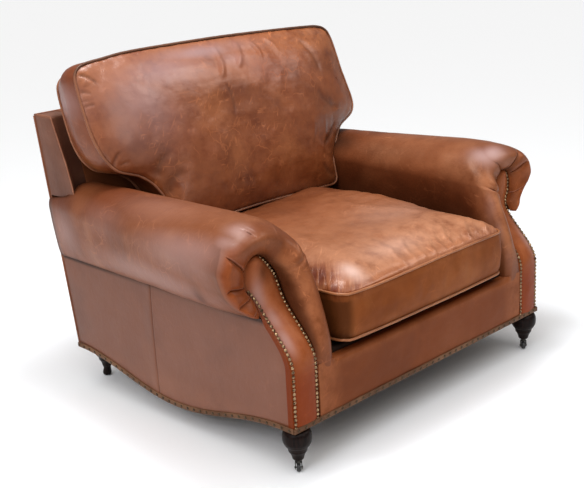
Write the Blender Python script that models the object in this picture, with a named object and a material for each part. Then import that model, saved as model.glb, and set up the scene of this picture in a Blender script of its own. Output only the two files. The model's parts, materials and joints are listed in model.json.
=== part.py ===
"""Rolled-arm leather armchair with loose cushions, turned legs and two front casters.

Metres, +Z up, the front of the chair towards -Y, left and right as seen from the front.
The origin is on the floor, in the middle of the chair's footprint.
"""
import math

import bmesh
import bpy
from mathutils import Matrix, Vector

for old_object in list(bpy.data.objects):
    bpy.data.objects.remove(old_object, do_unlink=True)

# ---------------------------------------------------------------- driving dimensions
GAP = 0.0003              # between pieces that touch
SIDES = (("left", -1), ("right", 1))

FACE_Y = -0.490           # front of the arms, below the shoulder
FACE_LEAN = 0.120         # how far the arm front swings back above the shoulder
SHOULDER_Z = 0.280
SWING_HEIGHT = 0.190      # height over which it swings back
REAR_FOOT_Y = 0.411       # outside back, at the base line
REAR_RAKE = 0.151         # outside back, run per rise
BACK_FRONT_Y = 0.380      # front face of the inside back, at BACK_FRONT_Z
BACK_FRONT_Z = 0.598
BACK_FRONT_RAKE = 0.250
BACK_TOP_Z = 0.805

BODY_HALF = 0.524         # half width over the outside arm panels
BASE_Z = 0.123            # bottom edge of the body
APRON_DIP = 0.060         # how far the side aprons sweep below it
APRON_MIDDLE_Y = -0.030
APRON_HALF = 0.420
PANEL = 0.012             # padded outside panels
BOARD = 0.028             # sawn rails and posts
SEAM_Z = 0.385            # top of the outside arm panel, under the roll
BAND_HEIGHT = 0.014       # nailed strip, hung a little below the bottom edge
BAND_DROP = 0.004
BAND = 0.003

RAIL_BOTTOM = 0.135
RAIL_TOP = 0.250
WALL_X = 0.372            # inner side of the arms
WALL_BOTTOM = 0.2684
POST_INNER_X = 0.4485
POST_OUTER_X = 0.5115
POST_TOP_Z = 0.530
BACK_POST_X = (0.456, 0.492)

FACING_X = (0.436, 0.525)
HEAD = Vector((0.492, 0.487))   # x and z of the round head of the arm facing
HEAD_RADIUS = 0.060

ARM_FRONT_Y = -0.400
ARM_REAR_Y = 0.460
# arm section at the front and at the rear: outer roll, then the hollow that holds the wood
ROLL_OUTER_X = (0.640, 0.537)
ROLL_TOP_Z = (0.636, 0.610)
ROLL_CENTRE_Z = (0.525, 0.540)
ROLL_SEAM_X = (0.540, 0.526)
ROLL_SEAM_Z = (0.405, 0.405)
HOLLOW_X = (HEAD.x, 0.4585)
HOLLOW_Z = (HEAD.y, 0.520)
HOLLOW_RADIUS = (0.064, 0.040)
HOLLOW_SEAM_X = (0.5285, 0.5016)
HOLLOW_DROP = (0.064, 0.100)
BORDER_PUFF = 0.022       # padded border round the head, in front of the facing
BORDER_FRONT_Y = FACE_Y - 0.0025   # foot of the border, up the inside of the facing
BORDER_BEND_Z = 0.325     # above this the border curves back towards the head
BORDER_BEND = 2.4
BORDER_BLEND = 0.14       # share of the path over which it settles on the head
FRONT_TUCK = 0.55         # how tightly the front of the roll is drawn in underneath
TUCK_REACH = 0.16         # share of the arm's length this takes

WIRE = 0.0018             # radius of the seat springs
DECK_TOP = 0.2790

SEAT_HALF = 0.345
SEAT_BULGE = 0.010
SEAT_FRONT_Y = -0.502
SEAT_REAR_Y = 0.298
SEAT_TOP_Z = 0.463
CUSHION_FRONT_Y = 0.160   # piping plane of the back cushion, at CUSHION_LOW_Z
CUSHION_LOW_Z = 0.450
CUSHION_RAKE = 0.300
CUSHION_SHIFT_X = 0.010   # it has slid a little to the right

FRONT_LEG = Vector((0.494, -0.466))
REAR_LEG_TOP = Vector((0.450, 0.375))
REAR_LEG_FOOT = Vector((0.440, 0.405))
LEG_TOP = 0.1345
WHEEL_RADIUS = 0.011
WHEEL_WIDTH = 0.010
CASTER_TURN = math.radians(-45.0)   # where the casters have come to rest


# ---------------------------------------------------------------- finishes
def finish(name, colour, roughness, metallic=0.0):
    material = bpy.data.materials.new(name)
    material.use_nodes = True
    shader = material.node_tree.nodes["Principled BSDF"]
    shader.inputs["Base Color"].default_value = (*colour, 1.0)
    shader.inputs["Roughness"].default_value = roughness
    shader.inputs["Metallic"].default_value = metallic
    return material


LEATHER = finish("tan_leather", (0.27, 0.10, 0.045), 0.42)
SEAT_LEATHER = finish("seat_leather", (0.42, 0.17, 0.075), 0.40)
BEECH = finish("beech", (0.52, 0.36, 0.20), 0.70)
MAHOGANY = finish("dark_mahogany", (0.025, 0.012, 0.009), 0.35)
SPRING_STEEL = finish("spring_steel", (0.30, 0.30, 0.31), 0.40, 1.0)
JUTE = finish("jute_web", (0.45, 0.33, 0.19), 0.90)
BLACK_CLOTH = finish("black_cloth", (0.02, 0.02, 0.02), 0.95)
DARK_IRON = finish("dark_iron", (0.03, 0.03, 0.03), 0.45, 1.0)
WHEEL_BLACK = finish("wheel_black", (0.015, 0.015, 0.015), 0.50)


# ---------------------------------------------------------------- shape helpers
def lerp(pair, t):
    return pair[0] + (pair[1] - pair[0]) * t


def clamp(value, low=0.0, high=1.0):
    return max(low, min(high, value))


def steps(start, stop, count):
    return [start + (stop - start) * i / (count - 1) for i in range(count)]


def smooth(t):
    t = clamp(t)
    return t * t * (3.0 - 2.0 * t)


def face_y(z):
    """Front plane of the arm: upright to the shoulder, then swung back to the head."""
    return FACE_Y + FACE_LEAN * smooth((z - SHOULDER_Z) / SWING_HEIGHT)


def face_heights(top):
    """Heights at which the swing of the arm front is drawn."""
    neck = [HEAD.y + HEAD_RADIUS * math.sin(a) for a in steps(math.radians(-56), math.radians(80), 11)]
    return [z for z in steps(SHOULDER_Z, 0.425, 8) + neck if z < top - 0.001]


def rear_y(z):
    return REAR_FOOT_Y + REAR_RAKE * (z - BASE_Z)


def back_front_y(z):
    return BACK_FRONT_Y + BACK_FRONT_RAKE * (z - BACK_FRONT_Z)


def apron_dip(y, half):
    reach = clamp(abs(y - APRON_MIDDLE_Y) / half)
    return APRON_DIP * math.cos(reach * math.pi / 2.0) ** 2


def base_edge(y):
    """Serpentine bottom edge of the side of the chair."""
    return BASE_Z - apron_dip(y, APRON_HALF)


def add_piece(name, bm, material, origin=(0.0, 0.0, 0.0), round_piece=False):
    bmesh.ops.recalc_face_normals(bm, faces=bm.faces)
    bmesh.ops.translate(bm, verts=bm.verts, vec=-Vector(origin))
    mesh = bpy.data.meshes.new(name)
    bm.to_mesh(mesh)
    bm.free()
    mesh.materials.append(material)
    piece = bpy.data.objects.new(name, mesh)
    piece.location = origin
    bpy.context.collection.objects.link(piece)
    if round_piece:
        mesh.shade_smooth()
        mesh.set_sharp_from_angle(angle=math.radians(35.0))
    return piece


def loft(rings):
    """Closed solid through rings of points, with a flat face over each end."""
    bm = bmesh.new()
    loops = [[bm.verts.new(point) for point in ring] for ring in rings]
    count = len(loops[0])
    for low, high in zip(loops, loops[1:]):
        for i in range(count):
            j = (i + 1) % count
            bm.faces.new((low[i], low[j], high[j], high[i]))
    bm.faces.new(list(reversed(loops[0])))
    bm.faces.new(loops[-1])
    return bm


def thick_sheet(outer, inner):
    """Closed solid between two grids of points, joined round their four edges."""
    bm = bmesh.new()
    rows, columns = len(outer), len(outer[0])
    skins = [[[bm.verts.new(p) for p in row] for row in grid] for grid in (outer, inner)]
    for skin in skins:
        for r in range(rows - 1):
            for c in range(columns - 1):
                bm.faces.new((skin[r][c], skin[r][c + 1], skin[r + 1][c + 1], skin[r + 1][c]))
    rim = [(0, c) for c in range(columns)]
    rim += [(r, columns - 1) for r in range(1, rows)]
    rim += [(rows - 1, c) for c in range(columns - 2, -1, -1)]
    rim += [(r, 0) for r in range(rows - 2, 0, -1)]
    for (r0, c0), (r1, c1) in zip(rim, rim[1:] + rim[:1]):
        bm.faces.new((skins[0][r0][c0], skins[0][r1][c1], skins[1][r1][c1], skins[1][r0][c0]))
    return bm


def board(name, xs, zs, front, back, material=BEECH):
    """A rail, post or panel across xs, whose front and back follow functions of height."""
    rings = [[(xs[0], front(z), z), (xs[1], front(z), z), (xs[1], back(z), z), (xs[0], back(z), z)]
             for z in zs]
    return add_piece(name, loft(rings), material)


def box(name, xs, ys, zs, material=BEECH):
    return board(name, xs, zs, lambda z: ys[0], lambda z: ys[1], material)


def mirrored(side, xs):
    return tuple(sorted((side * xs[0], side * xs[1])))


def prism(name, outline, zs, material=BEECH):
    rings = [[(x, y, z) for x, y in outline] for z in zs]
    return add_piece(name, loft(rings), material)


def turned(profile, centre, segments, lean=(0.0, 0.0), bore=None):
    """Solid of revolution about an upright axis: (radius, z) from the bottom up.

    lean moves each height sideways per metre below the top. bore, (radius, depth), opens
    a blind hole in the underside.
    """
    outline = list(profile)
    if bore:
        radius, depth = bore
        floor_z = profile[0][1]
        outline = [(radius, floor_z + depth), (radius, floor_z)] + outline
    top = profile[-1][1]
    rings = []
    for radius, z in outline:
        shift = Vector(lean) * (top - z)
        ring = []
        for i in range(segments):
            angle = 2.0 * math.pi * i / segments
            ring.append((centre[0] + shift.x + radius * math.cos(angle),
                         centre[1] + shift.y + radius * math.sin(angle), z))
        rings.append(ring)
    return loft(rings)


def join_solids(target, others, operation="UNION"):
    """Boolean the other pieces into the target, then drop them."""
    for other in others:
        modifier = target.modifiers.new(operation.lower(), "BOOLEAN")
        modifier.operation = operation
        modifier.object = other
        modifier.solver = "EXACT"
    bpy.context.view_layer.update()
    result = bpy.data.meshes.new_from_object(target.evaluated_get(bpy.context.evaluated_depsgraph_get()))
    target.modifiers.clear()
    target.data = result
    for other in others:
        bpy.data.objects.remove(other, do_unlink=True)
    return target


# ---------------------------------------------------------------- hardwood frame
def post_front(z):
    return face_y(z) + PANEL + GAP


def post_back(z):
    return post_front(z) + BOARD


def back_post_rear(z):
    return rear_y(z) - PANEL - GAP


def back_post_front(z):
    return back_post_rear(z) - 2.0 * BOARD


def make_frame():
    rail_ends = POST_INNER_X - GAP
    box("front_rail", (-rail_ends, rail_ends), (-0.4615, -0.4335), (RAIL_BOTTOM, RAIL_TOP))
    rear_ends = BACK_POST_X[0] - GAP
    box("rear_rail", (-rear_ends, rear_ends), (0.362, 0.390), (RAIL_BOTTOM, RAIL_TOP))
    for side_name, side in SIDES:
        post_zs = [RAIL_BOTTOM] + face_heights(POST_TOP_Z) + [POST_TOP_Z]
        board(f"arm_post_{side_name}", mirrored(side, (POST_INNER_X, POST_OUTER_X)), post_zs,
              post_front, post_back)
        make_side_rail(side_name, side)
        board(f"arm_top_rail_{side_name}", mirrored(side, (0.4565, 0.487)), (0.500, 0.530),
              lambda z: post_back(0.530) + GAP, lambda z: back_post_front(0.500) - GAP)
        board(f"arm_stretcher_{side_name}", mirrored(side, (0.486, POST_OUTER_X)), (0.372, 0.398),
              lambda z: post_back(z) + GAP, lambda z: back_post_front(0.372) - GAP)
        board(f"back_post_{side_name}", mirrored(side, BACK_POST_X), (RAIL_BOTTOM, 0.775),
              back_post_front, back_post_rear)
    for name, zs in (("back_top_rail", (0.715, 0.757)), ("back_tack_rail", (0.330, 0.370))):
        board(name, (-rear_ends, rear_ends), zs,
              lambda z: back_front_y(z) + 0.0330, lambda z: back_front_y(z) + 0.0330 + BOARD)
    make_corner_blocks()


def make_side_rail(side_name, side):
    """Side rail, sawn to the sweep of the apron below it."""
    xs = (side * (POST_OUTER_X - BOARD), side * POST_OUTER_X)
    rings = []
    for y in steps(post_back(RAIL_BOTTOM) + GAP, 0.340, 15):
        low = RAIL_BOTTOM - apron_dip(y, 0.340) * 1.05
        rings.append([(xs[0], y, low), (xs[1], y, low), (xs[1], y, RAIL_TOP), (xs[0], y, RAIL_TOP)])
    add_piece(f"side_rail_{side_name}", loft(rings), BEECH)


def make_corner_blocks():
    inner = POST_OUTER_X - BOARD - GAP
    front = -0.4335 + GAP
    rear = 0.362 - GAP
    for side_name, side in SIDES:
        front_outline = [(inner, front), (inner - 0.060, front), (inner, front + 0.060)]
        rear_outline = [(inner, 0.338), (inner, 0.275), (0.395, rear), (0.455, rear), (0.455, 0.338)]
        for end, outline in (("front", front_outline), ("rear", rear_outline)):
            prism(f"corner_block_{end}_{side_name}", [(side * x, y) for x, y in outline],
                  (0.150, 0.215))


# ---------------------------------------------------------------- springs and webbing
def make_springs():
    """Zigzag seat springs, from the front rail to the rear rail."""
    turns = 17
    swing = 0.024
    start, stop = -0.450, 0.380
    height = RAIL_TOP + GAP + WIRE
    for number in range(5):
        centre_x = (number - 2) * 0.150
        points = [(centre_x, start, height)]
        pitch = (stop - start) / (turns + 1)
        for turn in range(turns):
            y = start + pitch * (turn + 1)
            x = centre_x + swing * (-1) ** turn
            points += [(x, y - pitch * 0.30, height), (x, y + pitch * 0.30, height)]
        points.append((centre_x, stop, height))
        curve = bpy.data.curves.new(f"seat_spring_{number + 1}", "CURVE")
        curve.dimensions = "3D"
        curve.bevel_depth = WIRE
        curve.bevel_resolution = 1
        curve.use_fill_caps = True
        spline = curve.splines.new("POLY")
        spline.points.add(len(points) - 1)
        for spline_point, place in zip(spline.points, points):
            spline_point.co = (*place, 1.0)
        curve.materials.append(SPRING_STEEL)
        bpy.context.collection.objects.link(bpy.data.objects.new(curve.name, curve))


def make_back_webs():
    for number in range(3):
        centre_x = (number - 1) * 0.240
        board(f"back_web_{number + 1}", (centre_x - 0.025, centre_x + 0.025), (0.335, 0.752),
              lambda z: back_front_y(z) + 0.0304, lambda z: back_front_y(z) + 0.0324, JUTE)


# ---------------------------------------------------------------- padding and covers
def make_seat_base():
    deck_bottom = RAIL_TOP + GAP + 2.0 * WIRE + GAP
    side = WALL_X - 0.0005
    box("seat_deck", (-side, side), (-0.461, 0.292), (deck_bottom, DECK_TOP), JUTE)
    front, back = FACE_Y, -0.4615 - GAP
    outline = [(front, BASE_Z + 0.003), (back, BASE_Z + 0.003), (back, 0.2680)]
    outline += [(front + 0.014 - 0.014 * math.sin(a), 0.2540 + 0.014 * math.cos(a))
                for a in steps(0.0, math.pi / 2.0, 5)]
    half = FACING_X[0] - 0.0045
    rings = [[(x, y, z) for y, z in outline] for x in (-half, half)]
    add_piece("front_border", loft(rings), LEATHER)
    box("dust_cover", (-0.440, 0.440), (-0.433, 0.333), (0.1315, 0.1345), BLACK_CLOTH)


def facing_edges(z):
    """Inner and outer x of the arm facing at a height: a strip with a round head."""
    inner, outer = FACING_X
    rise = z - HEAD.y
    if abs(rise) < HEAD_RADIUS:
        half = math.sqrt(HEAD_RADIUS ** 2 - rise ** 2)
        if rise > 0.0:
            return HEAD.x - half, HEAD.x + half
        outer = max(outer, HEAD.x + half)
        inner = min(inner, HEAD.x - half)
    return inner, outer


def make_arm_facings():
    heights = [BASE_Z + 0.003] + face_heights(HEAD.y + HEAD_RADIUS)
    for side_name, side in SIDES:
        rings = []
        for z in heights:
            edges = [side * x for x in facing_edges(z)]
            near, far = face_y(z), face_y(z) + PANEL
            rings.append([(edges[0], near, z), (edges[1], near, z), (edges[1], far, z), (edges[0], far, z)])
        add_piece(f"arm_facing_{side_name}", loft(rings), LEATHER)


def arm_section(path, t):
    """Outer and inner point (x, z) of the arm padding, on a path of 0 to 1 round the section.

    The path climbs the inner wall, passes over the roll and ends at the seam under it.
    t is 0 at the front of the arm and 1 at the back.
    """
    centre_z = lerp(ROLL_CENTRE_Z, t)
    outer_x = lerp(ROLL_OUTER_X, t)
    hollow = Vector((lerp(HOLLOW_X, t), lerp(HOLLOW_Z, t)))
    radius = lerp(HOLLOW_RADIUS, t)
    wall_share = 0.25
    if path < wall_share:
        rise = path / wall_share
        outer = (WALL_X, WALL_BOTTOM + (centre_z - WALL_BOTTOM) * rise)
        inner = (hollow.x - radius, WALL_BOTTOM + (hollow.y - WALL_BOTTOM) * rise)
        return outer, inner
    angle = math.radians(180.0 - 260.0 * (path - wall_share) / (1.0 - wall_share))
    c, s = math.cos(angle), math.sin(angle)
    if angle >= 0.0:
        half = (outer_x - WALL_X) / 2.0
        outer = (WALL_X + half + half * c, centre_z + (lerp(ROLL_TOP_Z, t) - centre_z) * s)
        inner = (hollow.x + radius * c, hollow.y + radius * s)
        return outer, inner
    seam_x = lerp(ROLL_SEAM_X, t)
    tuck = 1.0 + FRONT_TUCK * smooth(1.0 - t / TUCK_REACH)
    outer_run = (outer_x - seam_x) * math.copysign(abs(c) ** tuck, c)
    outer = (seam_x + outer_run, centre_z - (centre_z - lerp(ROLL_SEAM_Z, t)) * abs(s) ** tuck)
    inner_seam = lerp(HOLLOW_SEAM_X, t)
    inner = (inner_seam + (hollow.x + radius - inner_seam) * c, hollow.y + lerp(HOLLOW_DROP, t) * s)
    return outer, inner


def border_front(path, z):
    """Front of the padded border: well proud of the facing inside, closer round the head."""
    inside = BORDER_FRONT_Y + BORDER_BEND * max(z - BORDER_BEND_Z, 0.0) ** 2
    around = face_y(z) - BORDER_PUFF
    return lerp((min(inside, around), around), smooth((path - 0.25) / BORDER_BLEND))


def arm_pad_row(side, path, skin):
    """Points from front to back at one place round the section; skin 0 is outer, 1 inner."""
    last_before_post, first_past_post = (0.25 + 0.75 * degrees / 260.0 for degrees in (138.0, 160.0))
    front_z = arm_section(path, 0.0)[skin][1]
    rear_z = arm_section(path, 1.0)[skin][1]
    start = border_front(path, front_z)
    past_post = clamp((path - last_before_post) / (first_past_post - last_before_post))
    stop = lerp((back_front_y(rear_z) - 4.0 * GAP, rear_y(rear_z) - PANEL - 2.0 * GAP), past_post)
    row = []
    for y in steps(start, stop, 9):
        t = clamp((y - ARM_FRONT_Y) / (ARM_REAR_Y - ARM_FRONT_Y))
        x, z = arm_section(path, t)[skin]
        row.append((side * x, y, z))
    return row


def make_arm_pads():
    """Padded inside arm and roll, one cover from the seat to the seam under the roll."""
    paths = steps(0.0, 0.25, 4) + steps(0.25, 1.0, 21)[1:]
    for side_name, side in SIDES:
        skins = [[arm_pad_row(side, path, skin) for path in paths] for skin in (0, 1)]
        add_piece(f"arm_pad_{side_name}", thick_sheet(*skins), LEATHER)


def make_outside_arms():
    """Flat outside arm panel, from the seam under the roll down to the sweep of the base."""
    levels = [BASE_Z] + face_heights(SEAM_Z) + [SEAM_Z]
    rises = [(level - BASE_Z) / (SEAM_Z - BASE_Z) for level in levels]
    for side_name, side in SIDES:
        grids = []
        for x in (side * BODY_HALF, side * (BODY_HALF - PANEL)):
            grid = []
            for rise in rises:
                row = []
                for along in steps(0.0, 1.0, 17):
                    z = lerp((BASE_Z, SEAM_Z + 0.018 * along), rise)
                    y = lerp((face_y(z) + PANEL + 3.0 * GAP, rear_y(z) - PANEL - GAP), along)
                    row.append((x, y, z - apron_dip(y, APRON_HALF) * (1.0 - rise)))
                grid.append(row)
            grids.append(grid)
        add_piece(f"outside_arm_{side_name}", thick_sheet(*grids), LEATHER)


def make_back_covers():
    """Inside back carried over the top rail, outside back, and the covers of the two posts."""
    half = BACK_POST_X[0] - GAP
    depth = 0.030
    top = BACK_TOP_Z
    path = [(back_front_y(z), z) for z in (0.2925, 0.45, 0.60, 0.70, 0.785)]
    path += [(back_front_y(top) + 0.012, top)]
    path += [(rear_y(top) - PANEL - GAP, top)]
    under = [(back_front_y(z) + depth, z) for z in (0.2925, 0.45, 0.60, 0.70, 0.760)]
    under += [(back_front_y(top) + depth + 0.004, top - depth)]
    under += [(rear_y(top - depth) - PANEL - GAP, top - depth)]
    outer = [[(x, y, z) for x in (-half, 0.0, half)] for y, z in path]
    inner = [[(x, y, z) for x in (-half, 0.0, half)] for y, z in under]
    add_piece("inside_back", thick_sheet(outer, inner), LEATHER)
    board("outside_back", (-BODY_HALF + 0.002, BODY_HALF - 0.002), (BASE_Z + 0.003, 0.45, BACK_TOP_Z),
          lambda z: rear_y(z) - PANEL, rear_y, LEATHER)
    for side_name, side in SIDES:
        cover_zs = (0.615, BACK_TOP_Z)
        cover = board(f"post_cover_{side_name}", mirrored(side, (0.4562, 0.522)), cover_zs,
                      back_front_y, lambda z: rear_y(z) - PANEL - GAP, LEATHER)
        cutter = board("post_room", mirrored(side, (0.4400, BACK_POST_X[1] + 0.0005)), (0.600, 0.7760),
                       lambda z: back_post_front(z) - 0.0005, lambda z: rear_y(z) + 0.010)
        join_solids(cover, [cutter], "DIFFERENCE")


def make_bands():
    """Narrow leather strip nailed along the bottom edge, one length on each side."""
    low, high = BASE_Z - BAND_DROP, BASE_Z - BAND_DROP + BAND_HEIGHT
    reach = BODY_HALF + 0.0013
    box("base_band_front", (-reach, reach), (FACE_Y - GAP - BAND, FACE_Y - GAP), (low, high), LEATHER)
    board("base_band_rear", (-0.522, 0.522), (low, high),
          lambda z: rear_y(z) + GAP, lambda z: rear_y(z) + GAP + BAND, LEATHER)
    for side_name, side in SIDES:
        near, far = side * reach, side * (reach + BAND)
        rings = []
        for y in steps(FACE_Y, REAR_FOOT_Y - 0.002, 19):
            bottom = base_edge(y) - BAND_DROP
            rings.append([(near, y, bottom), (far, y, bottom),
                          (far, y, bottom + BAND_HEIGHT), (near, y, bottom + BAND_HEIGHT)])
        add_piece(f"base_band_{side_name}", loft(rings), LEATHER)


# ---------------------------------------------------------------- loose cushions
def rounded_rectangle(half, front, rear, radius, corner_points=6):
    outline = []
    corners = ((half - radius, rear - radius, 0.0), (-half + radius, rear - radius, 90.0),
               (-half + radius, front + radius, 180.0), (half - radius, front + radius, 270.0))
    for centre_x, centre_y, first in corners:
        for angle in steps(math.radians(first), math.radians(first + 90.0), corner_points):
            outline.append((centre_x + radius * math.cos(angle), centre_y + radius * math.sin(angle)))
    return outline


def make_seat_cushion():
    """Boxed seat cushion; each layer is a height and how far its outline stands in."""
    layers = ((DECK_TOP + GAP, 0.045), (0.2880, 0.014), (0.2980, 0.0), (0.3600, -SEAT_BULGE),
              (0.4220, 0.0), (0.4380, 0.018), (0.4520, 0.060), (SEAT_TOP_Z, 0.130))
    rings = []
    for z, inset in layers:
        radius = max(0.030, 0.045 + inset * 0.4)
        outline = rounded_rectangle(SEAT_HALF - inset, SEAT_FRONT_Y + inset, SEAT_REAR_Y - inset * 0.4,
                                    radius)
        rings.append([(x, y, z) for x, y in outline])
    add_piece("seat_cushion", loft(rings), SEAT_LEATHER)


def make_back_cushion():
    """Boxed back cushion, notched at its lower corners to sit over the arms."""
    half_outline = [(0.325, 0.4660), (0.342, 0.4740), (0.351, 0.495), (0.351, 0.595), (0.364, 0.626),
                    (0.395, 0.646), (0.455, 0.650), (0.488, 0.664), (0.506, 0.700), (0.517, 0.760),
                    (0.516, 0.830), (0.505, 0.900), (0.487, 0.942), (0.445, 0.961), (0.300, 0.967)]
    outline = half_outline + [(-x, z) for x, z in reversed(half_outline)]
    middle_z = 0.720
    half_width, half_height = 0.517, 0.250
    # share of the depth from the front piping to the inside back, and inset of the outline
    layers = ((-0.240, 0.150), (-0.170, 0.080), (-0.070, 0.020), (0.0, 0.0), (0.36, -0.004),
              (0.72, 0.004), (0.88, 0.024), (1.0, 0.080))
    rings = []
    for share, inset in layers:
        ring = []
        for x, z in outline:
            x *= 1.0 - inset / half_width
            z = middle_z + (z - middle_z) * (1.0 - max(inset, 0.0) / half_height)
            front = CUSHION_FRONT_Y + CUSHION_RAKE * (z - CUSHION_LOW_Z)
            depth = (back_front_y(z) - 0.0008 - front) * share
            drop = CUSHION_RAKE * max(depth, 0.0) * smooth((z - 0.55) / 0.25)
            ring.append((x + CUSHION_SHIFT_X, front + depth - CUSHION_RAKE * drop, z - drop))
        rings.append(ring)
    add_piece("back_cushion", loft(rings), LEATHER)


# ---------------------------------------------------------------- legs and casters
TURNING = ((0.0148, 0.0375), (0.0156, 0.0420), (0.0176, 0.0480), (0.0215, 0.0555), (0.0235, 0.0580),
           (0.0247, 0.0630), (0.0280, 0.0715), (0.0310, 0.0745), (0.0352, 0.0800), (0.0370, 0.0900),
           (0.0372, 0.1000), (0.0352, 0.1090), (0.0290, 0.1160), (0.0112, 0.1163), (0.0112, LEG_TOP))


def make_legs():
    lean = (REAR_LEG_FOOT - REAR_LEG_TOP) / LEG_TOP
    for side_name, side in SIDES:
        front_profile = ((0.0070, 0.0325), (0.0117, 0.0335)) + TURNING
        front = turned(front_profile, (side * FRONT_LEG.x, FRONT_LEG.y), 20, bore=(0.0050, 0.0300))
        add_piece(f"front_leg_{side_name}", front, MAHOGANY, round_piece=True)
        foot = ((0.0085, 0.0000), (0.0115, 0.0025), (0.0132, 0.0080), (0.0125, 0.0150),
                (0.0110, 0.0250), (0.0125, 0.0330))
        rear = turned(foot + TURNING, (side * REAR_LEG_TOP.x, REAR_LEG_TOP.y), 20,
                      lean=(side * lean.x, lean.y))
        add_piece(f"rear_leg_{side_name}", rear, MAHOGANY, round_piece=True)


def cylinder(radius, low, high, centre, axis, segments=16):
    """Round bar between two distances along an axis through the centre."""
    turn = Vector((0.0, 0.0, 1.0)).rotation_difference(Vector(axis)).to_matrix()
    rings = []
    for along in (low, high):
        ring = []
        for i in range(segments):
            angle = 2.0 * math.pi * i / segments
            place = turn @ Vector((radius * math.cos(angle), radius * math.sin(angle), along))
            ring.append(Vector(centre) + place)
        rings.append(ring)
    return loft(rings)


def caster_block(lows, highs, centre):
    """Square-edged block turned to the caster's heading."""
    bm = bmesh.new()
    bmesh.ops.create_cube(bm, size=1.0)
    size = [high - low for low, high in zip(lows, highs)]
    middle = [(high + low) / 2.0 for low, high in zip(lows, highs)]
    bmesh.ops.scale(bm, vec=size, verts=bm.verts)
    bmesh.ops.translate(bm, vec=middle, verts=bm.verts)
    bmesh.ops.rotate(bm, cent=(0, 0, 0), matrix=Matrix.Rotation(CASTER_TURN, 3, "Z"), verts=bm.verts)
    bmesh.ops.translate(bm, vec=centre, verts=bm.verts)
    return bm


def make_casters():
    axle = (math.cos(CASTER_TURN), math.sin(CASTER_TURN), 0.0)
    for side_name, side in SIDES:
        centre = Vector((side * FRONT_LEG.x, FRONT_LEG.y, 0.0))
        socket_profile = ((0.0066, 0.0300), (0.0066, 0.0322), (0.0047, 0.0323), (0.0047, 0.0600))
        socket = turned(socket_profile, centre, 20, bore=(0.0033, 0.0280))
        add_piece(f"caster_socket_{side_name}", socket, DARK_IRON, round_piece=True)

        fork_name = f"caster_fork_{side_name}"
        crown_profile = ((0.0070, 0.0234), (0.0085, 0.0250), (0.0085, 0.0275), (0.0065, 0.0297),
                         (0.0029, 0.02971), (0.0029, 0.0560))
        fork = add_piece(fork_name, turned(crown_profile, centre, 20), DARK_IRON, centre, True)
        extras = []
        for hand in (-1, 1):
            xs = sorted((hand * 0.0068, hand * 0.0090))
            prong = caster_block((xs[0], -0.0045, 0.0070), (xs[1], 0.0045, 0.0262), centre)
            extras.append(add_piece("prong", prong, DARK_IRON))
        join_solids(fork, extras)
        axle_centre = centre + Vector((0.0, 0.0, WHEEL_RADIUS))
        hole = add_piece("hole", cylinder(0.0018, -0.02, 0.02, axle_centre, axle), DARK_IRON)
        join_solids(fork, [hole], "DIFFERENCE")
        pin = add_piece(f"caster_axle_{side_name}", cylinder(0.0015, -0.0100, 0.0100, axle_centre, axle),
                        DARK_IRON, axle_centre, True)
        heads = []
        for hand in (-1, 1):
            reach = sorted((hand * 0.0093, hand * 0.0105))
            heads.append(add_piece("head", cylinder(0.0028, *reach, axle_centre, axle), DARK_IRON))
        join_solids(pin, heads)
        make_wheel(side_name, axle_centre, axle)


def make_wheel(side_name, centre, axle):
    half = WHEEL_WIDTH / 2.0
    profile = ((0.0018, -half), (0.0095, -half), (WHEEL_RADIUS, -half + 0.0018),
               (WHEEL_RADIUS, half - 0.0018), (0.0095, half), (0.0018, half))
    turn = Vector((0.0, 0.0, 1.0)).rotation_difference(Vector(axle)).to_matrix()
    segments = 32
    bm = bmesh.new()
    loops = []
    for radius, along in profile:
        loop = []
        for i in range(segments):
            angle = 2.0 * math.pi * i / segments
            place = turn @ Vector((radius * math.cos(angle), radius * math.sin(angle), along))
            loop.append(bm.verts.new(centre + place))
        loops.append(loop)
    for near, far in zip(loops, loops[1:] + loops[:1]):
        for i in range(segments):
            j = (i + 1) % segments
            bm.faces.new((near[i], near[j], far[j], far[i]))
    add_piece(f"caster_wheel_{side_name}", bm, WHEEL_BLACK, centre, True)


make_frame()
make_springs()
make_back_webs()
make_seat_base()
make_arm_facings()
make_arm_pads()
make_outside_arms()
make_back_covers()
make_bands()
make_seat_cushion()
make_back_cushion()
make_legs()
make_casters()
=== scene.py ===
import json
import math

import bpy
import numpy as np
from mathutils import Matrix, Vector, kdtree, noise


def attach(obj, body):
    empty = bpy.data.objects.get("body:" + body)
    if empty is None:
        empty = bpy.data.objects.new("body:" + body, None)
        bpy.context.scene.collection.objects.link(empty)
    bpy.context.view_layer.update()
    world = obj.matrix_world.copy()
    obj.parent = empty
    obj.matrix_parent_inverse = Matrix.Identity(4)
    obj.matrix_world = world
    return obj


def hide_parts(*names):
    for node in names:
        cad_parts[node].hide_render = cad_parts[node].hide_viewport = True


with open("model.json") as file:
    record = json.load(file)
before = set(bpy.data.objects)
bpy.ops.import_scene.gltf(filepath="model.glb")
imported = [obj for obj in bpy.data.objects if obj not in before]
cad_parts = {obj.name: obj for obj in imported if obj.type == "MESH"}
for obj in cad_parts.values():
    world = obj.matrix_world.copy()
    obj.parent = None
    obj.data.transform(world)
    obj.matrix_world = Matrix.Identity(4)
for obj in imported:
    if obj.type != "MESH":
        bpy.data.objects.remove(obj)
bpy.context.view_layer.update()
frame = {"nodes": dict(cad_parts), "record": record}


# ---- Studio -------------------------------------------------------------------------
# A plain pale floor under a soft bright ceiling, with a cool lamp overhead and another from
# the side, two warmer ones that only glance off the wax, and a long lens a little above the arms.
bpy.context.scene.view_settings.view_transform = "Standard"
bpy.context.scene.world = bpy.data.worlds.new("studio")
bpy.context.scene.world.use_nodes = True
backdrop = bpy.context.scene.world.node_tree.nodes["Background"]
backdrop.inputs["Color"].default_value = (1.0, 1.0, 1.0, 1.0)
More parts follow.
